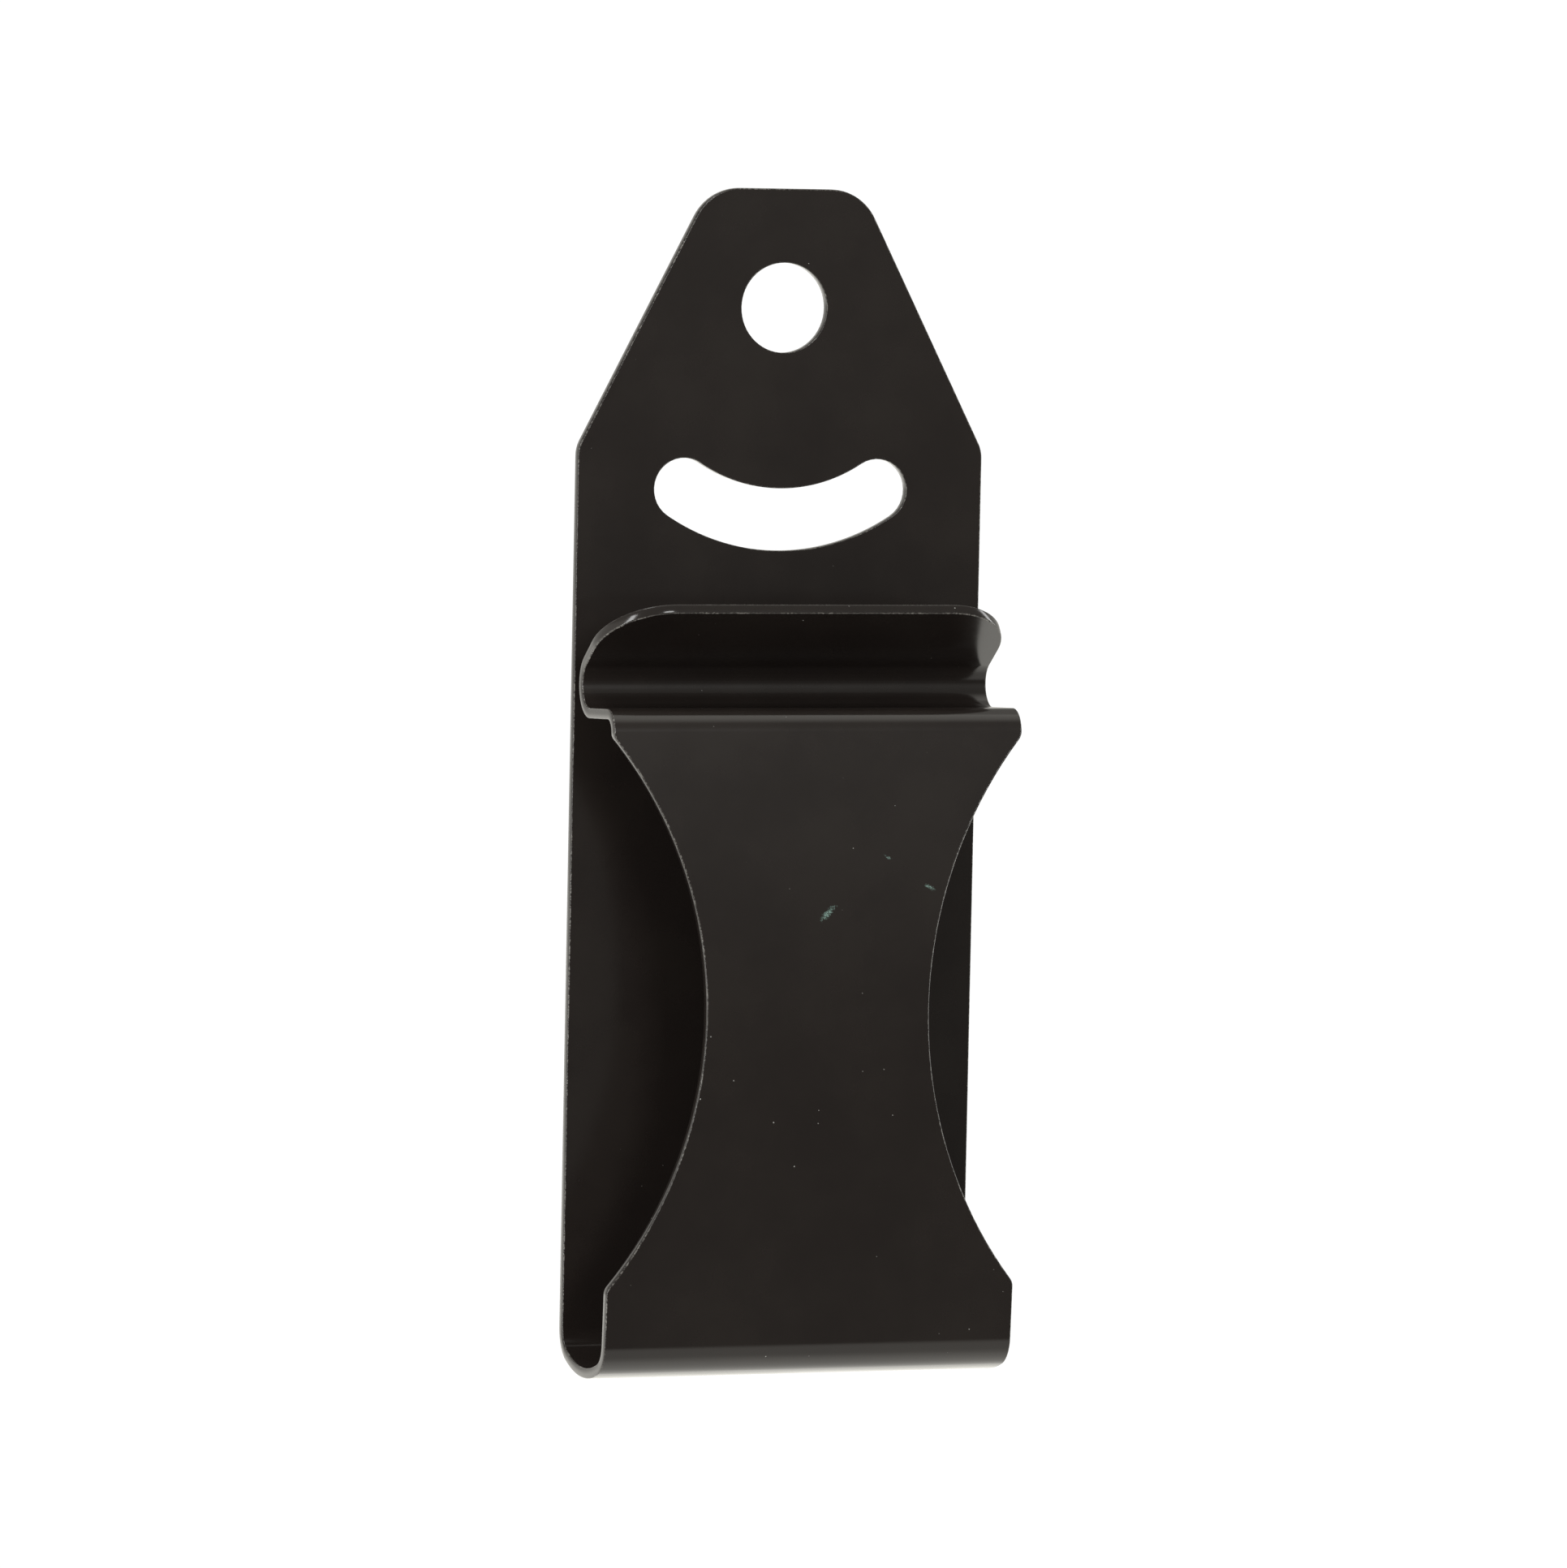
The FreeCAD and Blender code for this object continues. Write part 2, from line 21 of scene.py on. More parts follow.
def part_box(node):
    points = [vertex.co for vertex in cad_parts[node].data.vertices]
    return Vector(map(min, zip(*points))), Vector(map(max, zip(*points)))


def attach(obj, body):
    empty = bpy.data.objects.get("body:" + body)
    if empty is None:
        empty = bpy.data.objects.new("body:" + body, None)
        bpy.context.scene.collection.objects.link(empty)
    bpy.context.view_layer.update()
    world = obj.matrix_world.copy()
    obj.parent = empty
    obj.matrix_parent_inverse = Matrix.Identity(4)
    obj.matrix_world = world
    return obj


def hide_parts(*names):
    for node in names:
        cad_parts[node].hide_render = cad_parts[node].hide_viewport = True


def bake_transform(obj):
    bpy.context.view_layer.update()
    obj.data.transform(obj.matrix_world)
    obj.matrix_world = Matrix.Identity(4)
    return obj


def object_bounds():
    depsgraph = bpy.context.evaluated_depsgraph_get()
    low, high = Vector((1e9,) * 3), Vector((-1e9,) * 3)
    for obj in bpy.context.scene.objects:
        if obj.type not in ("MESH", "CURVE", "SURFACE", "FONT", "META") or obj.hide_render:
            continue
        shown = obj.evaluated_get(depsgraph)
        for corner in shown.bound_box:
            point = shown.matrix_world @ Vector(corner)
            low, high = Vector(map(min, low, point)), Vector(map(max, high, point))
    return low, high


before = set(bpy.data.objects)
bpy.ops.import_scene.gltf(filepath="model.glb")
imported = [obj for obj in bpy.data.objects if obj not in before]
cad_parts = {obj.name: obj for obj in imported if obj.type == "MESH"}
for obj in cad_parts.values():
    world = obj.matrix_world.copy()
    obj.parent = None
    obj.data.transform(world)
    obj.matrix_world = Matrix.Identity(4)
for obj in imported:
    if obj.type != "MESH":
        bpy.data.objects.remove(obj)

CAD_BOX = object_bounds()
MM = 0.001
QUARTER = 90.0  # A quarter turn, in degrees.
ROUNDING = 1e-9  # Slack for rounding when a stretch is divided into steps.
LIP_SLANT = 16.0  # Angle that the lip's rounded end is out of square by, in degrees.
LOG = logging.getLogger("dryer_holder")

Point2 = tuple[float, float]
Colour = tuple[float, float, float, float]
Ring = list[bmesh.types.BMVert]


class Stage(Enum):
    """Where a strip ends: against the next zone, or in the open with a rolled edge."""

    SEAM = "seam"
    ROLLED = "rolled"


class Body(Enum):
    """Moving bodies of the clip."""

    BACK = "back"
    LEAF = "leaf"


def turned(radius: float, degrees: float, centre: Point2 = (0.0, 0.0)) -> Point2:
    """Gives the end of an arm from a centre, its direction anticlockwise from the first axis."""
    angle = math.radians(degrees)
    return centre[0] + radius * math.cos(angle), centre[1] + radius * math.sin(angle)


def steps_between(start: float, end: float, longest: float) -> list[float]:
    """Divides a stretch evenly, with both ends included and no step longer than asked."""
    count = max(1, math.ceil(abs(end - start) / longest - ROUNDING))
    return [start + (end - start) * index / count for index in range(count + 1)]


@dataclass(frozen=True)
class Stock:
    """Sheet that the clip is bent from, with its rounded edges.

    Attributes:
        half_width: Half the width of the strip.
        sheet: Thickness.
        edge_radius: Radius of the rounding along the outline.
        opening_radius: Radius of the rounding round the hole and the slot.
        edge_steps: Steps in each quarter turn of that rounding.
        wall_crown: Angle that the cut wall leans by at its two corners, as it is slightly crowned.
        end_slant: Angle that a rounded end of the strip is out of square by, towards the outer face.
    """

    half_width: float
    sheet: float
    edge_radius: float = 0.14
    opening_radius: float = 0.09
    edge_steps: int = 5
    wall_crown: float = 9.0
    end_slant: float = 0.0

    def rings(self, radius: float, slant: float) -> list[tuple[float, float, float, float]]:
        """Lists the lines of the rounded edge from the outer face to the inner face.

        Args:
            radius: Radius of the rounding.
            slant: Angle that the wall is out of square by there.

        Returns:
            For each line its inset from the outline, its depth below the outer face, and the shares of the face
            normal and of the outline normal in its own normal.
        """
        quarter = steps_between(0.0, QUARTER, QUARTER / self.edge_steps)
        lines = []
        for side, turns in ((1.0, quarter), (-1.0, quarter[::-1])):
            for turn in turns:
                up, out = turned(1.0, turn)
                face, across = turned(1.0, turn * (QUARTER - self.wall_crown - side * slant) / QUARTER)
                sunk = radius * (1 - up)
                lines.append((radius * (1 - out), sunk if side > 0 else self.sheet - sunk, side * face, across))
        return lines


@dataclass(frozen=True)
class Spot:
    """Place on the outer face in the side profile.

    Attributes:
        y: Depth coordinate.
        z: Height coordinate.
        facing: Direction that the outer face looks in, in degrees from +y towards +z.
    """

    y: float
    z: float
    facing: float


@dataclass(frozen=True)
class Run(ABC):
    """One stretch of the folded strip in the side profile."""

    @property
    @abstractmethod
    def length(self) -> float:
        """Length along the outer face."""

    @abstractmethod
    def at(self, along: float) -> Spot:
        """Spot at a distance along the stretch."""

    def stops(self, along_step: float, turn_step: float) -> list[float]:
        """Distances along the stretch where rows are wanted."""
        return steps_between(0.0, self.length, along_step)


@dataclass(frozen=True)
class FlatRun(Run):
    """Straight stretch.

    Attributes:
        start: First point of the outer face.
        facing: Direction that the outer face looks in.
        reach: Length of the stretch.
    """

    start: Point2
    facing: float
    reach: float

    @property
    def length(self) -> float:
        """Length along the outer face."""
        return self.reach

    def at(self, along: float) -> Spot:
        """Spot at a distance along the stretch."""
        return Spot(*turned(along, self.facing - QUARTER, self.start), self.facing)


@dataclass(frozen=True)
class CurvedRun(Run):
    """Stretch bent round one centre.

    Attributes:
        centre: Centre of the bend.
        radius: Radius of the outer face, negative where that face is hollow.
        facing_start: Direction that the outer face looks in at the start.
        facing_end: The same at the end.
    """

    centre: Point2
    radius: float
    facing_start: float
    facing_end: float

    @property
    def length(self) -> float:
        """Length along the outer face."""
        return abs(math.radians(self.facing_end - self.facing_start) * self.radius)

    def at(self, along: float) -> Spot:
        """Spot at a distance along the stretch."""
        facing = self.facing_start - math.degrees(along / self.radius)
        return Spot(*turned(self.radius, facing, self.centre), facing)

    def stops(self, along_step: float, turn_step: float) -> list[float]:
        """Distances along the stretch where rows are wanted."""
        return super().stops(min(along_step, abs(self.radius) * math.radians(turn_step)), turn_step)


@dataclass(frozen=True)
class FoldLine:
    """Side profile of one zone, as stretches laid end to end.

    Attributes:
        runs: The stretches in order.
    """

    runs: tuple[Run, ...]

    @property
    def length(self) -> float:
        """Length along the outer face."""
        return sum(run.length for run in self.runs)

    def at(self, along: float) -> Spot:
        """Finds a spot on the outer face.

        Args:
            along: Distance from the start of the zone.

        Returns:
            The spot there.
        """
        left = along
        for run in self.runs[:-1]:
            if left <= run.length:
                return run.at(left)
            left -= run.length
        return self.runs[-1].at(left)

    def place(self, x: float, along: float, depth: float) -> Vector:
        """Turns a place on the blank and a depth below its outer face into a point in metres."""
        spot = self.at(along)
        return Vector((x, *turned(-depth, spot.facing, (spot.y, spot.z)))) * MM

    def normal(self, along: float, face: float, across: float, ahead: float) -> Vector:
        """Mixes a unit normal from shares of the face's own normal and of the ways across and along the strip."""
        facing = self.at(along).facing
        return Vector((across, *turned(ahead, facing - QUARTER, turned(face, facing)))).normalized()

    def stops(self, along_step: float, turn_step: float) -> list[float]:
        """Lists where rows are wanted over the whole zone.

        Args:
            along_step: Longest step along the strip.
            turn_step: Largest turn of the face between rows, in degrees.

        Returns:
            Distances from the start of the zone.
        """
        marks = [0.0]
        before = 0.0
        for run in self.runs:
            marks += [before + stop for stop in run.stops(along_step, turn_step)[1:]]
            before += run.length
        return marks


@dataclass(frozen=True)
class EdgePoint:
    """Point on the right-hand outline of the blank, with the outline's normal.

    Attributes:
        x: Distance across the strip.
        along: Distance from the start of the zone.
        across: Normal's share across the strip.
        ahead: Normal's share along the strip.
    """

    x: float
    along: float
    across: float = 1.0
    ahead: float = 0.0


def arc_points(centre: Point2, radius: float, turns: list[float], side: float = 1.0) -> list[EdgePoint]:
    """Lays one arc of an outline.

    Args:
        centre: Centre of the arc.
        radius: Radius of the arc.
        turns: Directions from the centre, in degrees.
        side: 1 where the material lies inside the arc, -1 where it lies outside.

    Returns:
        Points with normals that look out of the material.
    """
    points = []
    for turn in turns:
        across, ahead = turned(side, turn)
        points.append(EdgePoint(*turned(radius, turn, centre), across, ahead))
    return points


@dataclass
class SheetMesh:
    """Collects vertices, faces and exact normals of one closed piece of sheet.

    Attributes:
        name: Name of the piece.
        fold: Side profile that the blank is folded along.
        stock: Sheet that the piece is cut from.
    """

    name: str
    fold: FoldLine
    stock: Stock
    bm: bmesh.types.BMesh = field(default_factory=bmesh.new)
    normals: list[Vector] = field(default_factory=list)
    cuts: list[float] = field(default_factory=list)
    seams: dict[int, Vector] = field(default_factory=dict)
    rims: set[int] = field(default_factory=set)
    face_count: int = 0

    def vertex(self, x: float, along: float, depth: float, normal: Vector, cut: float) -> bmesh.types.BMVert:
        """Adds one vertex.

        Args:
            x: Distance across the strip.
            along: Distance from the start of the zone.
            depth: Distance below the outer face.
            normal: Exact normal.
            cut: How far the vertex is from the faces, from 0 on a face to 1 on the cut wall.

        Returns:
            The vertex.
        """
        self.normals.append(normal)
        self.cuts.append(cut)
        return self.bm.verts.new(self.fold.place(x, along, depth))

    def face(self, verts: Sequence[bmesh.types.BMVert], rim: bool = False, seam: Vector | None = None) -> None:
        """Adds one face.

        Args:
            verts: Its corners, anticlockwise from outside.
            rim: Whether it belongs to the cut edge.
            seam: Flat normal where the face is hidden against the next zone.
        """
        self.bm.faces.new(verts)
        if rim:
            self.rims.add(self.face_count)
        if seam is not None:
            self.seams[self.face_count] = seam
        self.face_count += 1

    def edge_ring(self, point: EdgePoint, radius: float) -> Ring:
        """Adds the vertices of the rounded edge at one outline point, from the outer to the inner face.

        Args:
            point: Outline point, with its normal pointing out of the material.
            radius: Radius of the rounding.

        Returns:
            The vertices.
        """
        ring = []
        slant = self.stock.end_slant * max(0.0, point.ahead)
        for inset, depth, face, out in self.stock.rings(radius, slant):
            along = point.along - inset * point.ahead
            normal = self.fold.normal(along, face, out * point.across, out * point.ahead)
            cut = 1.0 - inset / radius
            ring.append(self.vertex(point.x - inset * point.across, along, depth, normal, cut))
        return ring

    def rim_strip(self, first: Ring, second: Ring) -> None:
        """Joins two neighbouring edge rings, the second lying further round with the material on its left."""
        for upper, lower, lower_next, upper_next in zip(first, first[1:], second[1:], second):
            self.face((upper, lower, lower_next, upper_next), rim=True)

    def close_end(self, right: Ring, left: Ring, ahead: float, stage: Stage, along: float) -> None:
        """Closes an end between the two sides.

        Args:
            right: Edge ring on the right.
            left: Edge ring on the left.
            ahead: 1 for the end and -1 for the start of the zone.
            stage: Whether it is a seam or a rolled edge.
            along: Distance of that end from the start of the zone.
        """
        seam = self.fold.normal(along, 0.0, 0.0, ahead) if stage is Stage.SEAM else None
        for upper, lower, lower_left, upper_left in zip(right, right[1:], left[1:], left):
            corners = (upper, lower, lower_left, upper_left)
            self.face(corners if ahead > 0 else corners[::-1], rim=stage is Stage.ROLLED, seam=seam)

    def finish(self) -> bpy.types.Object:
        """Writes the mesh with its exact normals and the attribute that marks the cut edge.

        Returns:
            The new object, linked to the scene, with material index 1 on the cut edge.
        """
        mesh = bpy.data.meshes.new(self.name)
        for edge in self.bm.edges:
            edge.smooth = True
        self.bm.to_mesh(mesh)
        self.bm.free()
        loop_normals = []
        for polygon in mesh.polygons:
            polygon.use_smooth = True
            polygon.material_index = int(polygon.index in self.rims)
            seam = self.seams.get(polygon.index)
            loop_normals += [self.normals[index] if seam is None else seam for index in polygon.vertices]
        self._mark_seams(mesh)
        mesh.normals_split_custom_set(loop_normals)
        attribute = mesh.attributes.new("cut_edge", "FLOAT", "POINT")
        attribute.data.foreach_set("value", self.cuts)
        mesh.update()
        piece = bpy.data.objects.new(self.name, mesh)
        bpy.context.scene.collection.objects.link(piece)
        return piece

    def _mark_seams(self, mesh: bpy.types.Mesh) -> None:
        """Makes the outline of each hidden seam a sharp edge, so that normals don't run over it.

        Args:
            mesh: Mesh of the piece.
        """
        sides: dict[tuple[int, int], int] = {}
        for index in self.seams:
            for key in mesh.polygons[index].edge_keys:
                sides[key] = sides.get(key, 0) + 1
        for edge in mesh.edges:
            if sides.get(edge.key) == 1:
                edge.use_edge_sharp = True


@dataclass
class Zone(ABC):
    """One zone of the strip, which stands for the CAD node of the same name.

    Attributes:
        stock: Sheet that the clip is bent from.
    """

    stock: Stock
    name: str = field(init=False, default="")

    @abstractmethod
    def build(self) -> bpy.types.Object:
        """Builds the zone's mesh."""

    @abstractmethod
    def attach(self, piece: bpy.types.Object) -> None:
        """Ties the piece to the moving bodies."""

    def dress(self, piece: bpy.types.Object, finish: "LacquerFinish") -> None:
        """Gives the piece the lacquer of its faces and of its cut edges."""
        for coat in (finish.face, finish.cut_edge):
            piece.data.materials.append(finish.material(coat))

    def make(self, finish: "LacquerFinish") -> bpy.types.Object:
        """Builds, dresses and places the zone.

        Args:
            finish: Lacquer of the clip.

        Returns:
            The finished piece.
        """
        piece = self.build()
        self.dress(piece, finish)
        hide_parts(self.name)
        self.attach(piece)
        return piece


@dataclass(frozen=True)
class SideProfile:
    """Folds of the strip in side view.

    Attributes:
        foot_drop: Depth of the bend's corner centres below the mounting hole.
        depth: Distance from the plate's back to the front of the bend.
        bend_rise: Height of the bend below its corner centres.
        corner_radius: Outer radius of the bend's two corners.
        bow_radius: Radius that the front leaf bows forward by.
        ridge: Centre of the catch bead's ridge.
        ridge_radius: Its outer radius.
        valley: Centre of the hollow behind the ridge.
        valley_radius: Radius of the hollow's upper face.
        lip_tilt: Lean of the lip from upright.
        lip_length: Length of the lip.
    """

    foot_drop: float = 90.85
    depth: float = 13.3
    bend_rise: float = 3.7
    corner_radius: float = 3.0
    bow_radius: float = 370.0
    ridge: Point2 = (-10.7, -37.13)
    ridge_radius: float = 2.1
    valley: Point2 = (-5.3, -33.3)
    valley_radius: float = 2.0
    lip_tilt: float = 55.0
    lip_length: float = 8.85

    @property
    def rear_corner(self) -> Point2:
        """Centre of the bend's corner at the plate."""
        return -self.corner_radius, -self.foot_drop

    @property
    def front_corner(self) -> Point2:
        """Centre of the bend's corner at the leaf."""
        return self.corner_radius - self.depth, -self.foot_drop

    def bend_fold(self) -> FoldLine:
        """Works out the bend: a corner, a wide arc and another corner, each tangent to the next.

        Returns:
            The zone's profile.
        """
        middle = (self.rear_corner[0] + self.front_corner[0]) / 2
        half_span = self.rear_corner[0] - middle
        radius = (half_span**2 + self.bend_rise**2 - self.corner_radius**2) / (
            2 * (self.bend_rise - self.corner_radius)
        )
        centre = (middle, radius - self.bend_rise - self.foot_drop)
        swing = math.degrees(math.acos(half_span / (radius - self.corner_radius)))
        return FoldLine(
            (
                CurvedRun(self.rear_corner, self.corner_radius, 0.0, -swing),
                CurvedRun(centre, radius, -swing, swing - 180.0),
                CurvedRun(self.front_corner, self.corner_radius, swing - 180.0, self.leaf_facing()[0]),
            )
        )

    def leaf_centre(self) -> Point2:
        """Finds the centre of the leaf's bow from the two arcs that it touches.

        Returns:
            The centre.
        """
        foot, head = Vector(self.front_corner), Vector(self.ridge)
        foot_reach = self.bow_radius - self.corner_radius
        head_reach = self.bow_radius - self.ridge_radius
        span = (head - foot).length
        share = (span**2 + foot_reach**2 - head_reach**2) / (2 * span)
        rise = math.sqrt(foot_reach**2 - share**2)
        step = (head - foot).normalized()
        centre = foot + step * share + Vector((step.y, -step.x)) * rise
        return centre.x, centre.y

    def leaf_facing(self) -> tuple[float, float]:
        """Directions that the leaf's front looks in at its foot and at its head.

        Returns:
            Both directions, in degrees below zero.
        """
        centre = Vector(self.leaf_centre())
        foot = Vector(self.front_corner) - centre
        head = Vector(self.ridge) - centre
        return tuple(math.degrees(math.atan2(arm.y, arm.x)) % 360 - 360 for arm in (foot, head))

    def leaf_fold(self) -> FoldLine:
        """Profile of the bowed leaf."""
        return FoldLine((CurvedRun(self.leaf_centre(), self.bow_radius, *self.leaf_facing()),))

    def catch_fold(self) -> FoldLine:
        """Works out the ridge, the shelf behind it and the hollow.

        Returns:
            The zone's profile.
        """
        gap = Vector(self.valley) - Vector(self.ridge)
        lean = math.degrees(math.acos((self.ridge_radius + self.valley_radius) / gap.length))
        shelf = math.degrees(math.atan2(gap.y, gap.x)) + lean
        reach = math.sqrt(gap.length_squared - (self.ridge_radius + self.valley_radius) ** 2)
        return FoldLine(
            (
                CurvedRun(self.ridge, self.ridge_radius, self.leaf_facing()[1] + 360.0, shelf),
                FlatRun(turned(self.ridge_radius, shelf, self.ridge), shelf, reach),
                CurvedRun(self.valley, -self.valley_radius, shelf, 180.0 + self.lip_tilt),
            )
        )

    def lip_fold(self) -> FoldLine:
        """Profile of the straight lip, from the end of the hollow."""
        start = turned(self.valley_radius, self.lip_tilt, self.valley)
        return FoldLine((FlatRun(start, 180.0 + self.lip_tilt, self.lip_length),))


@dataclass
class FoldedZone(Zone):
    """Zone that is swept row by row along its side profile.

    Attributes:
        profile: Side profile of the strip.
        along_step: Longest step between rows.
        turn_step: Largest turn between rows, in degrees.
        end: How the far end is closed.
    """

    profile: SideProfile = field(default_factory=SideProfile)
    along_step: float = 1.5
    turn_step: float = 3.0
    end: Stage = Stage.SEAM

    @abstractmethod
    def fold(self) -> FoldLine:
        """Side profile of the zone."""

    def outline(self, fold: FoldLine) -> list[EdgePoint]:
        """Right-hand outline of the blank, straight unless a zone shapes it."""
        return [EdgePoint(self.stock.half_width, stop) for stop in fold.stops(self.along_step, self.turn_step)]

    def build(self) -> bpy.types.Object:
        """Sweeps the rows into one closed mesh.

        Returns:
            The zone's object.
        """
        fold = self.fold()
        points = self.outline(fold)
        sheet = SheetMesh(self.name, fold, self.stock)
        rows = []
        for point in points:
            mirrored = EdgePoint(-point.x, point.along, -point.across, point.ahead)
            rows.append(tuple(sheet.edge_ring(side, self.stock.edge_radius) for side in (point, mirrored)))
        for (right, left), (right_next, left_next) in zip(rows, rows[1:]):
            sheet.rim_strip(right, right_next)
            sheet.rim_strip(left_next, left)
            sheet.face((left[0], right[0], right_next[0], left_next[0]))
            sheet.face((right[-1], left[-1], left_next[-1], right_next[-1]))
        sheet.close_end(rows[0][0], rows[0][1], -1.0, Stage.SEAM, points[0].along)
        sheet.close_end(rows[-1][0], rows[-1][1], 1.0, self.end, points[-1].along)
        return sheet.finish()

    def attach(self, piece: bpy.types.Object) -> None:
        """Rides on the springy leaf."""
        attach(piece, Body.LEAF.value)


def inside(spot: Point2, loop: Sequence[Point2]) -> bool:
    """Tells whether a spot lies inside a closed outline.

    Args:
        spot: The spot.
        loop: Corners of the outline.

    Returns:
        True if it lies inside.
    """
    x, z = spot
    hit = False
    for (x1, z1), (x2, z2) in zip(loop, [*loop[1:], loop[0]]):
        if (z1 > z) != (z2 > z) and x < x1 + (z - z1) * (x2 - x1) / (z2 - z1):
            hit = not hit
    return hit


@dataclass
class BackPlate(Zone):
    """Flat plate with its crown, mounting hole and curved slot.

    Attributes:
        crown_rise: Height of the top edge above the mounting hole.
        crown_half_width: Half the width of the top edge, measured to the corners before they are rounded.
        crown_radius: Radius of the two upper corners.
        shoulder_drop: Depth of the shoulders below the mounting hole.
        shoulder_radius: Radius of the shoulders.
        foot_drop: Depth of the plate's lower end below the mounting hole.
        hole_radius: Radius of the mounting hole.
        slot_centre_drop: Depth of the slot's centre of curvature below the mounting hole.
        slot_radius: Radius of the slot's middle line.
        slot_width: Width of the slot.
        slot_half_angle: Half the angle between the centres of the slot's round ends.
        grid_step: Spacing of the points inside the flat faces.
        row_share: Spacing of their rows, as a share of that.
        clear_share: Least distance of those points from an outline, as a share of it too.
        grid_margin: Rows and columns tried beyond the plate.
        edge_step: Longest step along the straight sides.
        corner_turn: Largest turn between points of a rounded corner, in degrees.
        hole_turn: The same for the mounting hole.
        slot_step: Longest step round the slot.
        weld: Distance below which two points of the face are taken as one.
    """

    crown_rise: float = 10.57
    crown_half_width: float = 7.1
    crown_radius: float = 4.7
    shoulder_drop: float = 12.55
    shoulder_radius: float = 3.0
    foot_drop: float = 90.85
    hole_radius: float = 4.0
    slot_centre_drop: float = 2.1
    slot_radius: float = 16.75
    slot_width: float = 5.55
    slot_half_angle: float = 32.8
    grid_step: float = 3.5
    row_share: float = 0.87
    clear_share: float = 0.45
    grid_margin: int = 4
    edge_step: float = 4.0
    corner_turn: float = 5.0
    hole_turn: float = 6.0
    slot_step: float = 0.5
    weld: float = 1e-7
    name: str = field(init=False, default="back_plate")

    def rounded_corner(self, before: Point2, corner: Point2, after: Point2, radius: float) -> list[EdgePoint]:
        """Rounds a corner of the outline, which is followed anticlockwise.

        Args:
            before: Previous corner.
            corner: Corner to round.
            after: Next corner.
            radius: Radius of the rounding.

        Returns:
            Points of the arc with their normals.
        """
        heading_in = math.degrees(math.atan2(corner[1] - before[1], corner[0] - before[0]))
        heading_out = math.degrees(math.atan2(after[1] - corner[1], after[0] - corner[0]))
        turn = (heading_out - heading_in) % 360
        start = turned(-radius * math.tan(math.radians(turn / 2)), heading_in, corner)
        centre = turned(radius, heading_in + QUARTER, start)
        first = heading_in - QUARTER
        return arc_points(centre, radius, steps_between(first, first + turn, self.corner_turn))

    def outline(self) -> list[EdgePoint]:
        """Outline from the lower right corner anticlockwise to the lower left corner.

        Returns:
            Points with their normals; the plate's height coordinate stands for the distance along.
        """
        side, foot, top = self.stock.half_width, -self.foot_drop, -self.shoulder_drop - self.shoulder_radius
        right = [(side, foot), (side, -self.shoulder_drop), (self.crown_half_width, self.crown_rise)]
        corners = right + [(-x, height) for x, height in reversed(right)]
        radii = (self.shoulder_radius, self.crown_radius, self.crown_radius, self.shoulder_radius)
        points = [EdgePoint(side, height) for height in steps_between(foot, top, self.edge_step)]
        for index, radius in enumerate(radii):
            points += self.rounded_corner(*corners[index : index + 3], radius)
        points += [EdgePoint(-side, height, -1.0) for height in steps_between(top, foot, self.edge_step)]
        return points

    def hole(self) -> list[EdgePoint]:
        """Outline of the mounting hole, clockwise, with normals into the opening."""
        return arc_points((0.0, 0.0), self.hole_radius, steps_between(0.0, -360.0, self.hole_turn)[:-1], -1.0)

    def slot(self) -> list[EdgePoint]:
        """Outline of the curved slot, clockwise, with normals into the opening.

        Returns:
            Points of the inner arc, the two round ends and the outer arc.
        """
        half = self.slot_width / 2
        centre = (0.0, -self.slot_centre_drop)
        left, right = -QUARTER - self.slot_half_angle, -QUARTER + self.slot_half_angle
        arcs = (
            (centre, self.slot_radius - half, left, right, 1.0),
            (turned(self.slot_radius, right, centre), half, right + 180, right, -1.0),
            (centre, self.slot_radius + half, right, left, -1.0),
            (turned(self.slot_radius, left, centre), half, left, left - 180, -1.0),
        )
        points = []
        for middle, radius, start, end, side in arcs:
            turns = steps_between(start, end, math.degrees(self.slot_step / radius))
            points += arc_points(middle, radius, turns[:-1], side)
        return points

    def fold(self) -> FoldLine:
        """Side profile: one straight stretch whose start lies at the height of the mounting hole."""
        return FoldLine((FlatRun((-self.stock.sheet, 0.0), 180.0, self.crown_rise),))

    def inner_points(self, loops: list[list[Point2]]) -> list[Point2]:
        """Lists evenly spaced points inside the flat face.

        Args:
            loops: The outer outline and the openings, as seen on the face.

        Returns:
            Points that keep clear of every outline.
        """
        reach = int(self.foot_drop / self.grid_step) + self.grid_margin
        clear = self.grid_step * self.clear_share
        found = []
        for column in range(-reach, reach + 1):
            for row in range(-reach, reach + 1):
                x = (column + (row % 2) / 2) * self.grid_step
                spot = (x, row * self.grid_step * self.row_share)
                near = min(math.dist(spot, corner) for loop in loops for corner in loop)
                if near > clear and inside(spot, loops[0]) and not any(inside(spot, loop) for loop in loops[1:]):
                    if abs(spot[0]) < self.stock.half_width - clear and spot[1] > clear - self.foot_drop:
                        found.append(spot)
        return found

    def build(self) -> bpy.types.Object:
        """Builds the plate as one closed mesh.

        Returns:
            The plate's object.
        """
        sheet = SheetMesh(self.name, self.fold(), self.stock)
        chain = [sheet.edge_ring(point, self.stock.edge_radius) for point in self.outline()]
        fine = self.stock.opening_radius
        openings = [[sheet.edge_ring(point, fine) for point in loop] for loop in (self.hole(), self.slot())]
        for first, second in zip(chain, chain[1:]):
            sheet.rim_strip(first, second)
        for loop in openings:
            for first, second in zip(loop, loop[1:] + loop[:1]):
                sheet.rim_strip(first, second)
        sheet.close_end(chain[0], chain[-1], -1.0, Stage.SEAM, -self.foot_drop)
        self.fill_faces(sheet, [chain, *openings])
        return sheet.finish()

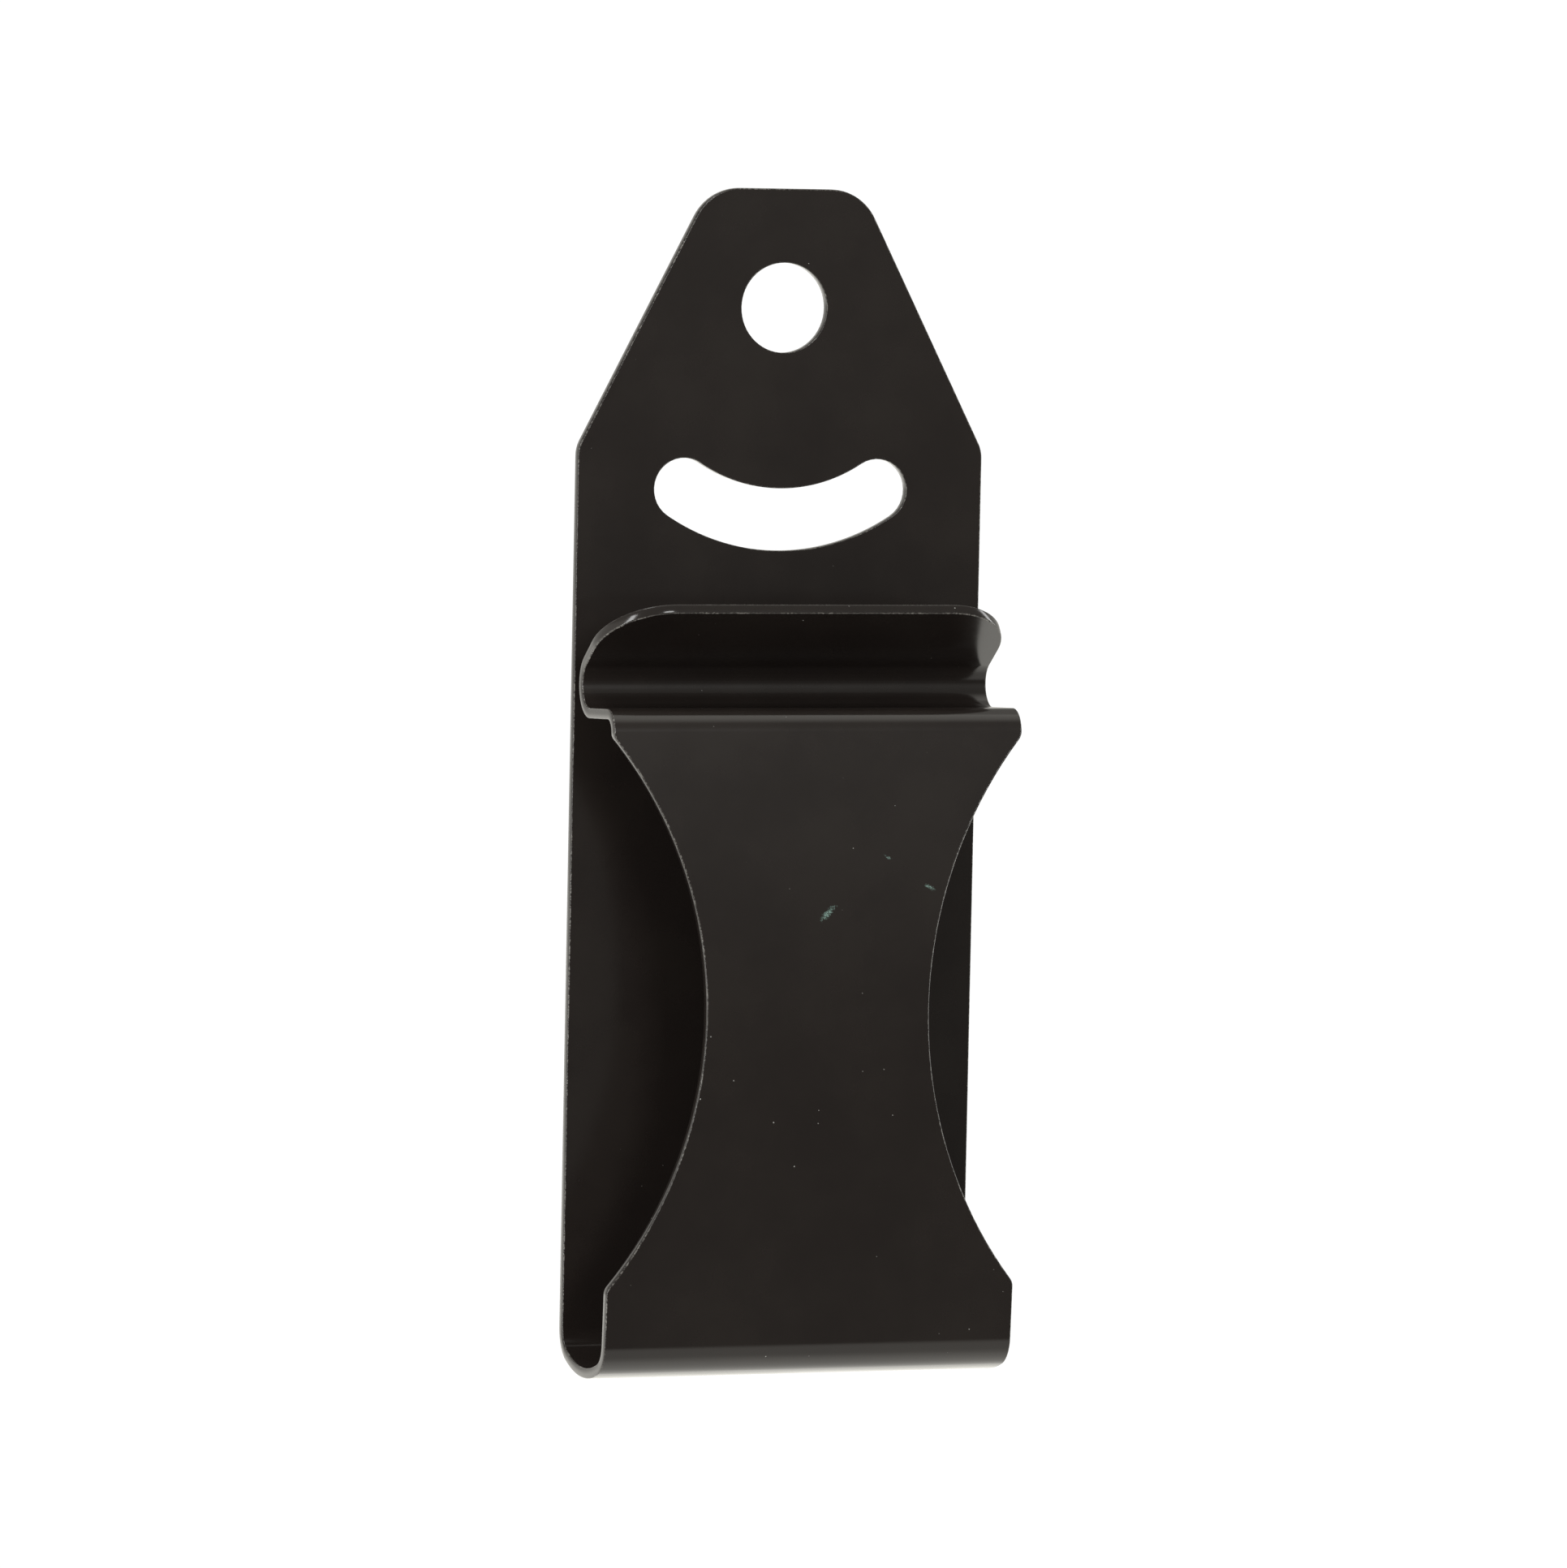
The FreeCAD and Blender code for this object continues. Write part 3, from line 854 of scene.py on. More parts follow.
    def fill_faces(self, sheet: SheetMesh, loops: list[list[Ring]]) -> None:
        """Fills the front and the back of the plate.

        Args:
            sheet: Mesh under construction.
            loops: Edge rings of the outline and of each opening.
        """
        flat = [[(ring[0].co.x / MM, ring[0].co.z / MM) for ring in loop] for loop in loops]
        extra = self.inner_points(flat)
        spots = [Vector(spot) for loop in flat for spot in loop] + [Vector(spot) for spot in extra]
        sides, first = [], 0
        for loop in flat:
            sides += [(first + index, first + (index + 1) % len(loop)) for index in range(len(loop))]
            first += len(loop)
        triangles = delaunay_2d_cdt(spots, sides, [], 1, self.weld)[2]
        rings = [ring for loop in loops for ring in loop]
        front = [ring[0] for ring in rings]
        back = [ring[-1] for ring in rings]
        for x, height in extra:
            front.append(sheet.vertex(x, height, 0.0, sheet.fold.normal(height, 1.0, 0.0, 0.0), 0.0))
            back.append(sheet.vertex(x, height, self.stock.sheet, sheet.fold.normal(height, -1.0, 0.0, 0.0), 0.0))
        for triangle in triangles:
            middle = sum((spots[index] for index in triangle), Vector((0.0, 0.0))) / 3
            if any(inside(tuple(middle), loop) for loop in flat[1:]):
                continue
            sheet.face([front[index] for index in triangle])
            sheet.face([back[index] for index in reversed(triangle)])

    def attach(self, piece: bpy.types.Object) -> None:
        """Rides on the fixed body."""
        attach(piece, Body.BACK.value)


@dataclass
class BottomBend(FoldedZone):
    """Springy bend at the foot, which is tied to neither body.

    Attributes:
        foot_lean: How far the leaf's foot stands behind the front of the bend. Not used.
    """

    foot_lean: float = 0.02
    name: str = field(init=False, default="bottom_bend")

    def fold(self) -> FoldLine:
        """Side profile of the bend."""
        return self.profile.bend_fold()

    def attach(self, piece: bpy.types.Object) -> None:
        """Bakes the bend's placement into its mesh; it is tied to neither body.

        Args:
            piece: The bend's object.
        """
        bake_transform(piece)


@dataclass
class FrontLeaf(FoldedZone):
    """Bowed front leaf with a waist.

    Attributes:
        waist_drop: Depth of the narrowest place below the mounting hole.
        waist_half_width: Half the width there.
        waist_radius: Radius of the two side arcs.
        waist_turn: Largest turn between points of a side arc, in degrees.
        corner_radius: Radius where an arc meets the full width.
        corner_turn: Largest turn between points of such a corner, in degrees.
    """

    waist_drop: float = 61.7
    waist_half_width: float = 10.35
    waist_radius: float = 38.5
    waist_turn: float = 2.0
    corner_radius: float = 1.2
    corner_turn: float = 6.0
    name: str = field(init=False, default="front_leaf")

    def fold(self) -> FoldLine:
        """Side profile of the leaf."""
        return self.profile.leaf_fold()

    def along_at(self, height: float) -> float:
        """Converts a height into a distance along the leaf.

        Args:
            height: Height coordinate on the outer face.

        Returns:
            Distance from the leaf's foot.
        """
        sine = (height - self.profile.leaf_centre()[1]) / self.profile.bow_radius
        facing = -180.0 - math.degrees(math.asin(sine))
        return math.radians(self.profile.leaf_facing()[0] - facing) * self.profile.bow_radius

    def outline(self, fold: FoldLine) -> list[EdgePoint]:
        """Lays the right-hand outline from the foot to the head.

        Args:
            fold: The leaf's profile.

        Returns:
            Points with their normals.
        """
        side = self.stock.half_width
        waist = (self.waist_half_width + self.waist_radius, -self.waist_drop)
        corner_x = side - self.corner_radius
        reach = self.waist_radius + self.corner_radius
        swing = math.degrees(math.acos((waist[0] - corner_x) / reach))
        corner_rise = reach * math.sin(math.radians(swing))
        low, high = waist[1] - corner_rise, waist[1] + corner_rise
        foot, head = fold.at(0.0).z, fold.at(fold.length).z
        low_turns = steps_between(0.0, swing, self.corner_turn)
        waist_turns = steps_between(180.0 + swing, 180.0 - swing, self.waist_turn)
        high_turns = steps_between(-swing, 0.0, self.corner_turn)
        points = [EdgePoint(side, height) for height in steps_between(foot, low, self.along_step)[:-1]]
        points += arc_points((corner_x, low), self.corner_radius, low_turns[:-1])
        points += arc_points(waist, self.waist_radius, waist_turns, -1.0)
        points += arc_points((corner_x, high), self.corner_radius, high_turns[1:])
        points += [EdgePoint(side, height) for height in steps_between(high, head, self.along_step)[1:]]
        return [replace(point, along=self.along_at(point.along)) for point in points]


@dataclass
class CatchBead(FoldedZone):
    """Ridge, shelf and hollow at the head of the leaf."""

    turn_step: float = 4.0
    name: str = field(init=False, default="catch_bead")

    def fold(self) -> FoldLine:
        """Side profile of the catch."""
        return self.profile.catch_fold()


@dataclass
class LeadInLip(FoldedZone):
    """Lip with two large rounded corners that guides a strap into the clip.

    Attributes:
        corner_radius: Radius of the two corners.
    """

    corner_radius: float = 6.2
    end: Stage = Stage.ROLLED
    name: str = field(init=False, default="lead_in_lip")

    def fold(self) -> FoldLine:
        """Side profile of the lip."""
        return self.profile.lip_fold()

    def outline(self, fold: FoldLine) -> list[EdgePoint]:
        """Lays the right-hand outline with its rounded corner.

        Args:
            fold: The lip's profile.

        Returns:
            Points with their normals.
        """
        side = self.stock.half_width
        corner = (side - self.corner_radius, fold.length - self.corner_radius)
        points = [EdgePoint(side, along) for along in steps_between(0.0, corner[1], self.along_step)[:-1]]
        return points + arc_points(corner, self.corner_radius, steps_between(0.0, QUARTER, self.turn_step))


class NodeSheet:
    """Short-hand for laying nodes in one tree."""

    def __init__(self, tree: bpy.types.NodeTree) -> None:
        """Keeps the tree."""
        self.tree = tree

    def feed(self, target: bpy.types.NodeSocket, source: object) -> None:
        """Links a socket or sets a plain value.

        Args:
            target: Input to feed.
            source: Output socket or value.
        """
        if isinstance(source, bpy.types.NodeSocket):
            self.tree.links.new(source, target)
        else:
            target.default_value = source

    def node(self, kind: str, feeds: dict[str | int, object] | None = None, **settings: object) -> bpy.types.Node:
        """Adds a node.

        Args:
            kind: Type of the node.
            feeds: Sockets or values for its inputs, by their names or numbers.
            **settings: Properties of the node.

        Returns:
            The node.
        """
        made = self.tree.nodes.new(kind)
        for key, value in settings.items():
            setattr(made, key, value)
        for key, source in (feeds or {}).items():
            self.feed(made.inputs[key], source)
        return made

    def maths(self, operation: str, *values: object, clamp: bool = False) -> bpy.types.NodeSocket:
        """Adds a Math node, whose result can be kept between 0 and 1, and gives its output."""
        made = self.node("ShaderNodeMath", dict(enumerate(values)), operation=operation, use_clamp=clamp)
        return made.outputs[0]

    def vector(self, operation: str, *values: object, output: str = "Vector") -> bpy.types.NodeSocket:
        """Adds a Vector Math node and gives the output wanted."""
        return self.node("ShaderNodeVectorMath", dict(enumerate(values)), operation=operation).outputs[output]

    def ramp(
        self, value: object, low: float, high: float, start: float = 0.0, end: float = 1.0
    ) -> bpy.types.NodeSocket:
        """Adds a smooth Map Range node, which turns low into start and high into end, and gives its output."""
        feeds = {"Value": value, "From Min": low, "From Max": high, "To Min": start, "To Max": end}
        return self.node("ShaderNodeMapRange", feeds, interpolation_type="SMOOTHSTEP").outputs["Result"]

    def noise(
        self, position: object, scale: object, detail: float = 2.0, roughness: float = 0.5
    ) -> bpy.types.NodeSocket:
        """Adds a Noise Texture with that many lumps per metre and gives its factor."""
        feeds = {"Vector": position, "Scale": scale, "Detail": detail, "Roughness": roughness}
        return self.node("ShaderNodeTexNoise", feeds).outputs["Fac"]

    def blend(self, factor: object, first: object, second: object) -> bpy.types.NodeSocket:
        """Mixes two plain numbers, the factor being the share of the second, and gives the result."""
        feeds = {0: factor, 2: first, 3: second}
        return self.node("ShaderNodeMix", feeds, data_type="FLOAT", clamp_factor=True).outputs[0]

    def mix(self, factor: object, first: object, second: object) -> bpy.types.NodeSocket:
        """Mixes two colours, the factor being the share of the second, and gives the result."""
        feeds = {0: factor, 6: first, 7: second}
        return self.node("ShaderNodeMix", feeds, data_type="RGBA", clamp_factor=True).outputs[2]


class EffectGroup(ABC):
    """Shader node group that gives masks and heights, built once.

    Attributes:
        name: Name of the group.
        inputs: Default of each input by name, or None for a vector.
        outputs: Names of its outputs, which are plain numbers.
    """

    name: str
    inputs: dict[str, float | None]
    outputs: tuple[str, ...]

    def tree(self) -> bpy.types.NodeTree:
        """Finds the group, or builds it the first time.

        Returns:
            The node tree.
        """
        found = bpy.data.node_groups.get(self.name)
        if found is not None:
            return found
        tree = bpy.data.node_groups.new(self.name, "ShaderNodeTree")
        for name, default in self.inputs.items():
            kind = "NodeSocketVector" if default is None else "NodeSocketFloat"
            socket = tree.interface.new_socket(name=name, in_out="INPUT", socket_type=kind)
            if default is not None:
                socket.default_value = default
        for name in self.outputs:
            tree.interface.new_socket(name=name, in_out="OUTPUT", socket_type="NodeSocketFloat")
        sheet = NodeSheet(tree)
        self.lay(sheet, sheet.node("NodeGroupInput").outputs, sheet.node("NodeGroupOutput").inputs)
        return tree

    @abstractmethod
    def lay(self, sheet: NodeSheet, entry: bpy.types.NodeOutputs, leave: bpy.types.NodeInputs) -> None:
        """Lays the group's nodes.

        Args:
            sheet: The group's nodes.
            entry: Sockets that bring in the group's inputs.
            leave: Sockets that take the group's outputs.
        """

    def use(self, sheet: NodeSheet, **values: object) -> bpy.types.NodeOutputs:
        """Places the group in a material.

        Args:
            sheet: The material's nodes.
            **values: Inputs by name, with underscores for spaces.

        Returns:
            The outputs of the placed group.
        """
        made = sheet.node("ShaderNodeGroup", node_tree=self.tree())
        for key, value in values.items():
            sheet.feed(made.inputs[key.replace("_", " ")], value)
        return made.outputs


class LacquerSkin(EffectGroup):
    """Fine orange peel and slow mottling of a sprayed lacquer."""

    name = "lacquer_skin"
    inputs = {"Position": None, "Peel Scale": 1500.0, "Mottle Scale": 90.0}
    outputs = ("Peel", "Mottle")
    fine_share, broad_share = 0.45, 0.55
    broad_scale = 0.21
    cloud_band = (0.3, 0.7)

    def lay(self, sheet: NodeSheet, entry: bpy.types.NodeOutputs, leave: bpy.types.NodeInputs) -> None:
        """Adds two sizes of peel and a slow cloud.

        Args:
            sheet: The group's nodes.
            entry: Sockets that bring in the group's inputs.
            leave: Sockets that take the group's outputs.
        """
        fine = sheet.noise(entry["Position"], entry["Peel Scale"], 3.0, 0.55)
        broad = sheet.noise(entry["Position"], sheet.maths("MULTIPLY", entry["Peel Scale"], self.broad_scale))
        broad = sheet.maths("MULTIPLY", broad, self.broad_share)
        sheet.feed(leave["Peel"], sheet.maths("MULTIPLY_ADD", fine, self.fine_share, broad))
        cloud = sheet.noise(entry["Position"], entry["Mottle Scale"], 4.0, 0.6)
        sheet.feed(leave["Mottle"], sheet.ramp(cloud, *self.cloud_band))


class DustFall(EffectGroup):
    """Small pale specks, each with its own size and strength, lying on the surface."""

    name = "dust_fall"
    inputs = {"Position": None, "Specks per Metre": 1000.0, "Share": 0.22}
    outputs = ("Mask",)
    size_spread, least_size = 0.045, 0.02
    strength_spread, least_strength = 0.8, 0.2

    def lay(self, sheet: NodeSheet, entry: bpy.types.NodeOutputs, leave: bpy.types.NodeInputs) -> None:
        """Keeps a share of scattered cells and draws a round speck in each.

        Args:
            sheet: The group's nodes.
            entry: Sockets that bring in the group's inputs.
            leave: Sockets that take the group's outputs.
        """
        feeds = {"Vector": entry["Position"], "Scale": entry["Specks per Metre"]}
        cells = sheet.node("ShaderNodeTexVoronoi", feeds, feature="F1")
        chance = sheet.node("ShaderNodeSeparateColor", {0: cells.outputs["Color"]}).outputs
        kept = sheet.maths("LESS_THAN", chance[0], entry["Share"])
        size = sheet.maths("MULTIPLY_ADD", chance[1], self.size_spread, self.least_size)
        near = sheet.maths("LESS_THAN", cells.outputs["Distance"], size)
        strength = sheet.maths("MULTIPLY_ADD", chance[2], self.strength_spread, self.least_strength)
        sheet.feed(leave["Mask"], sheet.maths("MULTIPLY", sheet.maths("MULTIPLY", kept, near), strength))


class CornerWearAndHighlight(EffectGroup):
    """Broken bright line on the corners of a cut edge: lacquer thinner there, and a painted highlight of the
    rounding.
    """

    name = "corner_wear_and_highlight"
    inputs = {"Position": None, "Cut": 0.0, "Grain Scale": 4800.0, "Amount": 1.0}
    outputs = ("Mask", "Height")
    peak = 4.0
    bead_band = (0.44, 0.6)
    patch_scale = 420.0
    patch_band = (0.36, 0.6, 0.25, 1.0)

    def lay(self, sheet: NodeSheet, entry: bpy.types.NodeOutputs, leave: bpy.types.NodeInputs) -> None:
        """Breaks up a band that peaks at the middle of the rounding, where the painted highlight of the edge lies.

        Args:
            sheet: The group's nodes.
            entry: Sockets that bring in the group's inputs.
            leave: Sockets that take the group's outputs.
        """
        rest = sheet.maths("SUBTRACT", 1.0, entry["Cut"])
        band = sheet.maths("MULTIPLY", sheet.maths("MULTIPLY", entry["Cut"], rest), self.peak, clamp=True)
        grain = sheet.noise(entry["Position"], entry["Grain Scale"], 3.0, 0.6)
        beads = sheet.ramp(grain, *self.bead_band)
        patches = sheet.ramp(sheet.noise(entry["Position"], self.patch_scale, 1.0), *self.patch_band)
        mask = sheet.maths("MULTIPLY", sheet.maths("MULTIPLY", band, beads), patches)
        sheet.feed(leave["Mask"], sheet.maths("MULTIPLY", mask, entry["Amount"], clamp=True))
        sheet.feed(leave["Height"], sheet.maths("MULTIPLY", band, grain))


class RubMark(EffectGroup):
    """One short smeared mark of foreign colour."""

    name = "rub_mark"
    inputs = {"Position": None, "Centre": None, "Heading": None, "Length": 0.0008, "Width": 0.0003}
    outputs = ("Mask",)
    fray_scale, fray_reach = 5200.0, 3.2
    rim_band = (1.1, 0.5)
    streak_scale = 8000.0
    streak_band = (0.4, 0.66, 0.12, 1.0)

    def lay(self, sheet: NodeSheet, entry: bpy.types.NodeOutputs, leave: bpy.types.NodeInputs) -> None:
        """Measures an ellipse round the centre and frays it with noise.

        Args:
            sheet: The group's nodes.
            entry: Sockets that bring in the group's inputs.
            leave: Sockets that take the group's outputs.
        """
        arm = sheet.vector("SUBTRACT", entry["Position"], entry["Centre"])
        ahead = sheet.vector("DOT_PRODUCT", arm, entry["Heading"], output="Value")
        feeds = {0: entry["Heading"], "Scale": ahead}
        along = sheet.node("ShaderNodeVectorMath", feeds, operation="SCALE").outputs["Vector"]
        aside = sheet.vector("LENGTH", sheet.vector("SUBTRACT", arm, along), output="Value")
        long_part, wide_part = (
            sheet.maths("POWER", sheet.maths("DIVIDE", distance, entry[size]), 2.0)
            for distance, size in ((ahead, "Length"), (aside, "Width"))
        )
        reach = sheet.maths("SQRT", sheet.maths("ADD", long_part, wide_part))
        ragged = sheet.noise(entry["Position"], self.fray_scale, 3.0, 0.7)
        fray = sheet.maths("MULTIPLY_ADD", ragged, self.fray_reach, -self.fray_reach / 2)
        solid = sheet.ramp(sheet.maths("ADD", reach, fray), *self.rim_band)
        streaks = sheet.ramp(sheet.noise(entry["Position"], self.streak_scale, 3.0, 0.7), *self.streak_band)
        sheet.feed(leave["Mask"], sheet.maths("MULTIPLY", solid, streaks))


@dataclass(frozen=True)
class Smear:
    """A mark left on the leaf by something that rubbed against it.

    Attributes:
        centre: Place on the leaf, in millimetres.
        heading: Direction of the smear, as a unit vector.
        length: Half its length, in metres.
        width: Half its width, in metres.
    """

    centre: tuple[float, float, float]
    heading: tuple[float, float, float]
    length: float
    width: float


@dataclass(frozen=True)
class Coat:
    """How the lacquer lies on one kind of surface.

    Attributes:
        name: Name of its material.
        gloss: Middle of the roughness.
        peel: Lumps of orange peel per metre.
        relief: Strength of the relief.
        wear_and_highlight: Amount of the corner's worn lacquer and painted edge highlight.
    """

    name: str
    gloss: float
    peel: float
    relief: float
    wear_and_highlight: float


@dataclass(frozen=True)
class LacquerFinish:
    """Semi-gloss black lacquer on spring steel.

    Attributes:
        black: Colour of the lacquer.
        clouded: Colour where it is slightly hazy.
        thinned_and_highlit: Colour on a corner of a cut edge, where the lacquer is thinner and where the rounded
            edge's highlight is painted.
        dust: Colour of the specks.
        smear_tint: Colour of the rub marks.
        face: Lacquer of the flat faces.
        cut_edge: Lacquer of the cut edges, thinner and less even.
        mottle_spread: How much the roughness differs from place to place.
        dust_dulling: Roughness that a speck adds.
        bead_relief: Height of the beads on a corner, in heights of the peel.
        relief_depth: Height of the peel, in metres.
        ior: Index of refraction.
        smears: The rub marks.
    """

    black: Colour = (0.0150, 0.0118, 0.0106, 1.0)
    clouded: Colour = (0.0180, 0.0143, 0.0124, 1.0)
    # Pale grey for the corners of the cut edges: lacquer worn thinner, plus a painted highlight of the rounded
    # edge.
    thinned_and_highlit: Colour = (0.26, 0.25, 0.23, 1.0)
    dust: Colour = (0.42, 0.42, 0.40, 1.0)
    smear_tint: Colour = (0.23, 0.36, 0.32, 1.0)
    face: Coat = Coat("black_lacquer_face", 0.16, 1500.0, 0.35, 1.0)
    cut_edge: Coat = Coat("black_lacquer_cut_edge", 0.15, 2300.0, 0.7, 0.6)
    mottle_spread: float = 0.036
    dust_dulling: float = 0.4
    bead_relief: float = 2.0
    relief_depth: float = 0.00001
    ior: float = 1.5
    smears: tuple[Smear, ...] = (
        Smear((0.75, -13.77, -52.9), (0.72, 0.0, 0.69), 0.00082, 0.00029),
        Smear((10.32, -13.67, -50.7), (0.87, 0.0, -0.50), 0.00050, 0.00018),
        Smear((6.30, -13.54, -48.0), (0.90, 0.0, -0.43), 0.00034, 0.00013),
    )

    def material(self, coat: Coat) -> bpy.types.Material:
        """Finds a coat's material, or builds it the first time.

        Args:
            coat: How the lacquer lies there.

        Returns:
            The material.
        """
        found = bpy.data.materials.get(coat.name)
        if found is not None:
            return found
        material = bpy.data.materials.new(coat.name)
        material.use_nodes = True
        material.node_tree.nodes.clear()
        sheet = NodeSheet(material.node_tree)
        place = sheet.node("ShaderNodeTexCoord").outputs["Object"]
        cut = sheet.node("ShaderNodeAttribute", attribute_name="cut_edge").outputs["Fac"]
        skin = LacquerSkin().use(sheet, Position=place, Peel_Scale=coat.peel)
        corner = CornerWearAndHighlight().use(sheet, Position=place, Cut=cut, Amount=coat.wear_and_highlight)
        specks = DustFall().use(sheet, Position=place)["Mask"]
        colour = sheet.mix(skin["Mottle"], self.black, self.clouded)
        for smear in self.smears:
            centre = tuple(value * MM for value in smear.centre)
            mark = RubMark().use(
                sheet, Position=place, Centre=centre, Heading=smear.heading, Length=smear.length, Width=smear.width
            )
            colour = sheet.mix(mark["Mask"], colour, self.smear_tint)
        # Painted highlight, partly worn lacquer: pale grey over the middle of each rounded cut edge, where the edge
        # catches a bright line, broken into beads.
        colour = sheet.mix(corner["Mask"], colour, self.thinned_and_highlit)
        colour = sheet.mix(specks, colour, self.dust)
        lowest = coat.gloss - self.mottle_spread / 2
        rough = sheet.maths("MULTIPLY_ADD", skin["Mottle"], self.mottle_spread, lowest)
        rough = sheet.maths("MULTIPLY_ADD", specks, self.dust_dulling, rough)
        height = sheet.maths("MULTIPLY_ADD", corner["Height"], self.bead_relief, skin["Peel"])
        feeds = {"Strength": coat.relief, "Distance": self.relief_depth, "Height": height}
        bump = sheet.node("ShaderNodeBump", feeds).outputs["Normal"]
        feeds = {"Base Color": colour, "Roughness": rough, "Normal": bump, "IOR": self.ior}
        shader = sheet.node("ShaderNodeBsdfPrincipled", feeds).outputs["BSDF"]
        sheet.node("ShaderNodeOutputMaterial", {"Surface": shader})
        return material


@dataclass(frozen=True)
class SoftLight:
    """Large soft light that points at the clip.

    Attributes:
        name: Name of the light.
        place: Where it stands, in metres.
        width: Its width in metres.
        height: Its height in metres.
        power: Its power in watts.
    """

    name: str
    place: tuple[float, float, float]
    width: float
    height: float
    power: float

    def put(self, target: Vector) -> None:
        """Adds the light.

        Args:
            target: Point that it faces.
        """
        lamp = bpy.data.lights.new(self.name, "AREA")
        lamp.shape = "RECTANGLE"
        lamp.size = self.width
        lamp.size_y = self.height
        lamp.energy = self.power
        holder = bpy.data.objects.new(self.name, lamp)
        holder.location = self.place
        holder.rotation_euler = (target - Vector(self.place)).to_track_quat("-Z", "Y").to_euler()
        holder.visible_camera = False
        bpy.context.scene.collection.objects.link(holder)


@dataclass(frozen=True)
class Studio:
    """White room with a pale floor and a dim side where the camera stands.

    Brightness is given by direction as seen from the clip: in front, at the sides and behind, overhead and below.

    Attributes:
        floor_drop: Depth of the floor below the clip, in metres.
        floor_radius: Radius of the floor, in metres.
        floor_glow: Light that the floor gives by itself.
        floor_sides: Sides of the floor.
        floor_roughness: Roughness of the floor.
        floor_colour: Colour of the floor.
        floor_light: Colour of the light that it gives.
        front: Level direction of the dim side.
        front_low: Brightness in front, below eye level.
        front_high: Brightness in front, above eye level.
        side: Brightness at the sides and behind, at eye level.
        side_low: Brightness there, a little below eye level.
        side_high: Brightness there, well above eye level.
        ceiling: Extra brightness overhead and in front of that.
        ground: Brightness of the ground at a distance.
        ground_near: Extra brightness straight below.
        tint: Colour of the room's light.
        white: Brightness that the camera sees.
        eye_band: Rises, as sines of the angle, between which the front brightens.
        low_band: Rises between which the sides and the back darken towards eye level.
        high_band: Rises between which they darken above eye level.
        facing_band: Shares of the front direction between which the dim side begins.
        top_band: Rises between which the ceiling begins.
        top_depth_band: Depths between which the ceiling brightens towards the front.
        top_behind: Share of the ceiling's brightness behind that.
        ground_band: Rises between which the ground ends.
        near_band: Rises between which the ground straight below ends.
        lights: The soft lights.
    """

    floor_drop: float = 0.30
    floor_radius: float = 1.1
    floor_glow: float = 0.75
    floor_sides: int = 96
    floor_roughness: float = 0.9
    floor_colour: Colour = (0.9, 0.9, 0.89, 1.0)
    floor_light: Colour = (1.0, 1.0, 0.985, 1.0)
    front: tuple[float, float, float] = (0.2, -0.98, 0.0)
    front_low: float = 0.13
    front_high: float = 0.30
    side: float = 0.85
    side_low: float = 1.6
    side_high: float = 0.4
    ceiling: float = 1.1
    ground: float = 0.92
    ground_near: float = 0.8
    tint: Colour = (1.0, 0.98, 0.91, 1.0)
    white: float = 1.05
    eye_band: Point2 = (-0.07, 0.04)
    low_band: Point2 = (-0.18, -0.04)
    high_band: Point2 = (0.1, 0.4)
    facing_band: Point2 = (0.1, 0.6)
    top_band: Point2 = (0.7, 0.95)
    top_depth_band: Point2 = (0.2, 0.0)
    top_behind: float = 0.3
    ground_band: Point2 = (-0.46, -0.24)
    near_band: Point2 = (-1.0, -0.75)
    lights: tuple[SoftLight, ...] = (
        SoftLight("softbox_left", (-1.5, -0.9, 0.15), 0.35, 1.4, 16.0),
        SoftLight("softbox_right", (1.7, 0.0, 0.1), 0.3, 1.4, 9.0),
        SoftLight("softbox_top", (-0.55, -0.47, 1.3), 0.3, 0.5, 4.0),
        SoftLight("softbox_front", (0.1, -1.75, 0.4), 0.4, 0.4, 7.0),
    )

    def room(self) -> None:
        """Builds the world: white where the camera looks at it, and graded by direction for the light it gives."""
        world = bpy.data.worlds.new("white_room")
        world.use_nodes = True
        world.node_tree.nodes.clear()
        sheet = NodeSheet(world.node_tree)
        heading = sheet.node("ShaderNodeTexCoord").outputs["Generated"]
        parts = sheet.node("ShaderNodeSeparateXYZ", {0: heading}).outputs
        rise = parts["Z"]
        level = sheet.vector("NORMALIZE", sheet.vector("MULTIPLY", heading, (1.0, 1.0, 0.0)))
        facing = sheet.vector("DOT_PRODUCT", level, Vector(self.front).normalized(), output="Value")
        front = sheet.ramp(rise, *self.eye_band, self.front_low, self.front_high)
        around = sheet.ramp(rise, *self.low_band, self.side_low, self.side)
        around = sheet.maths("MINIMUM", around, sheet.ramp(rise, *self.high_band, self.side_low, self.side_high))
        shine = sheet.blend(sheet.ramp(facing, *self.facing_band), around, front)
        ahead = sheet.ramp(parts["Y"], *self.top_depth_band, self.top_behind * self.ceiling, self.ceiling)
        shine = sheet.maths("ADD", shine, sheet.maths("MULTIPLY", sheet.ramp(rise, *self.top_band), ahead))
        ground = sheet.ramp(rise, *self.ground_band, self.ground, 0.0)
        ground = sheet.maths("ADD", ground, sheet.ramp(rise, *self.near_band, self.ground_near, 0.0))
        seen = sheet.node("ShaderNodeLightPath").outputs["Is Camera Ray"]
        colour = sheet.mix(seen, self.tint, (1.0, 1.0, 1.0, 1.0))
        strength = sheet.blend(seen, sheet.maths("MAXIMUM", shine, ground), self.white)
        background = sheet.node("ShaderNodeBackground", {"Color": colour, "Strength": strength})
        sheet.node("ShaderNodeOutputWorld", {"Surface": background.outputs["Background"]})
        bpy.context.scene.world = world

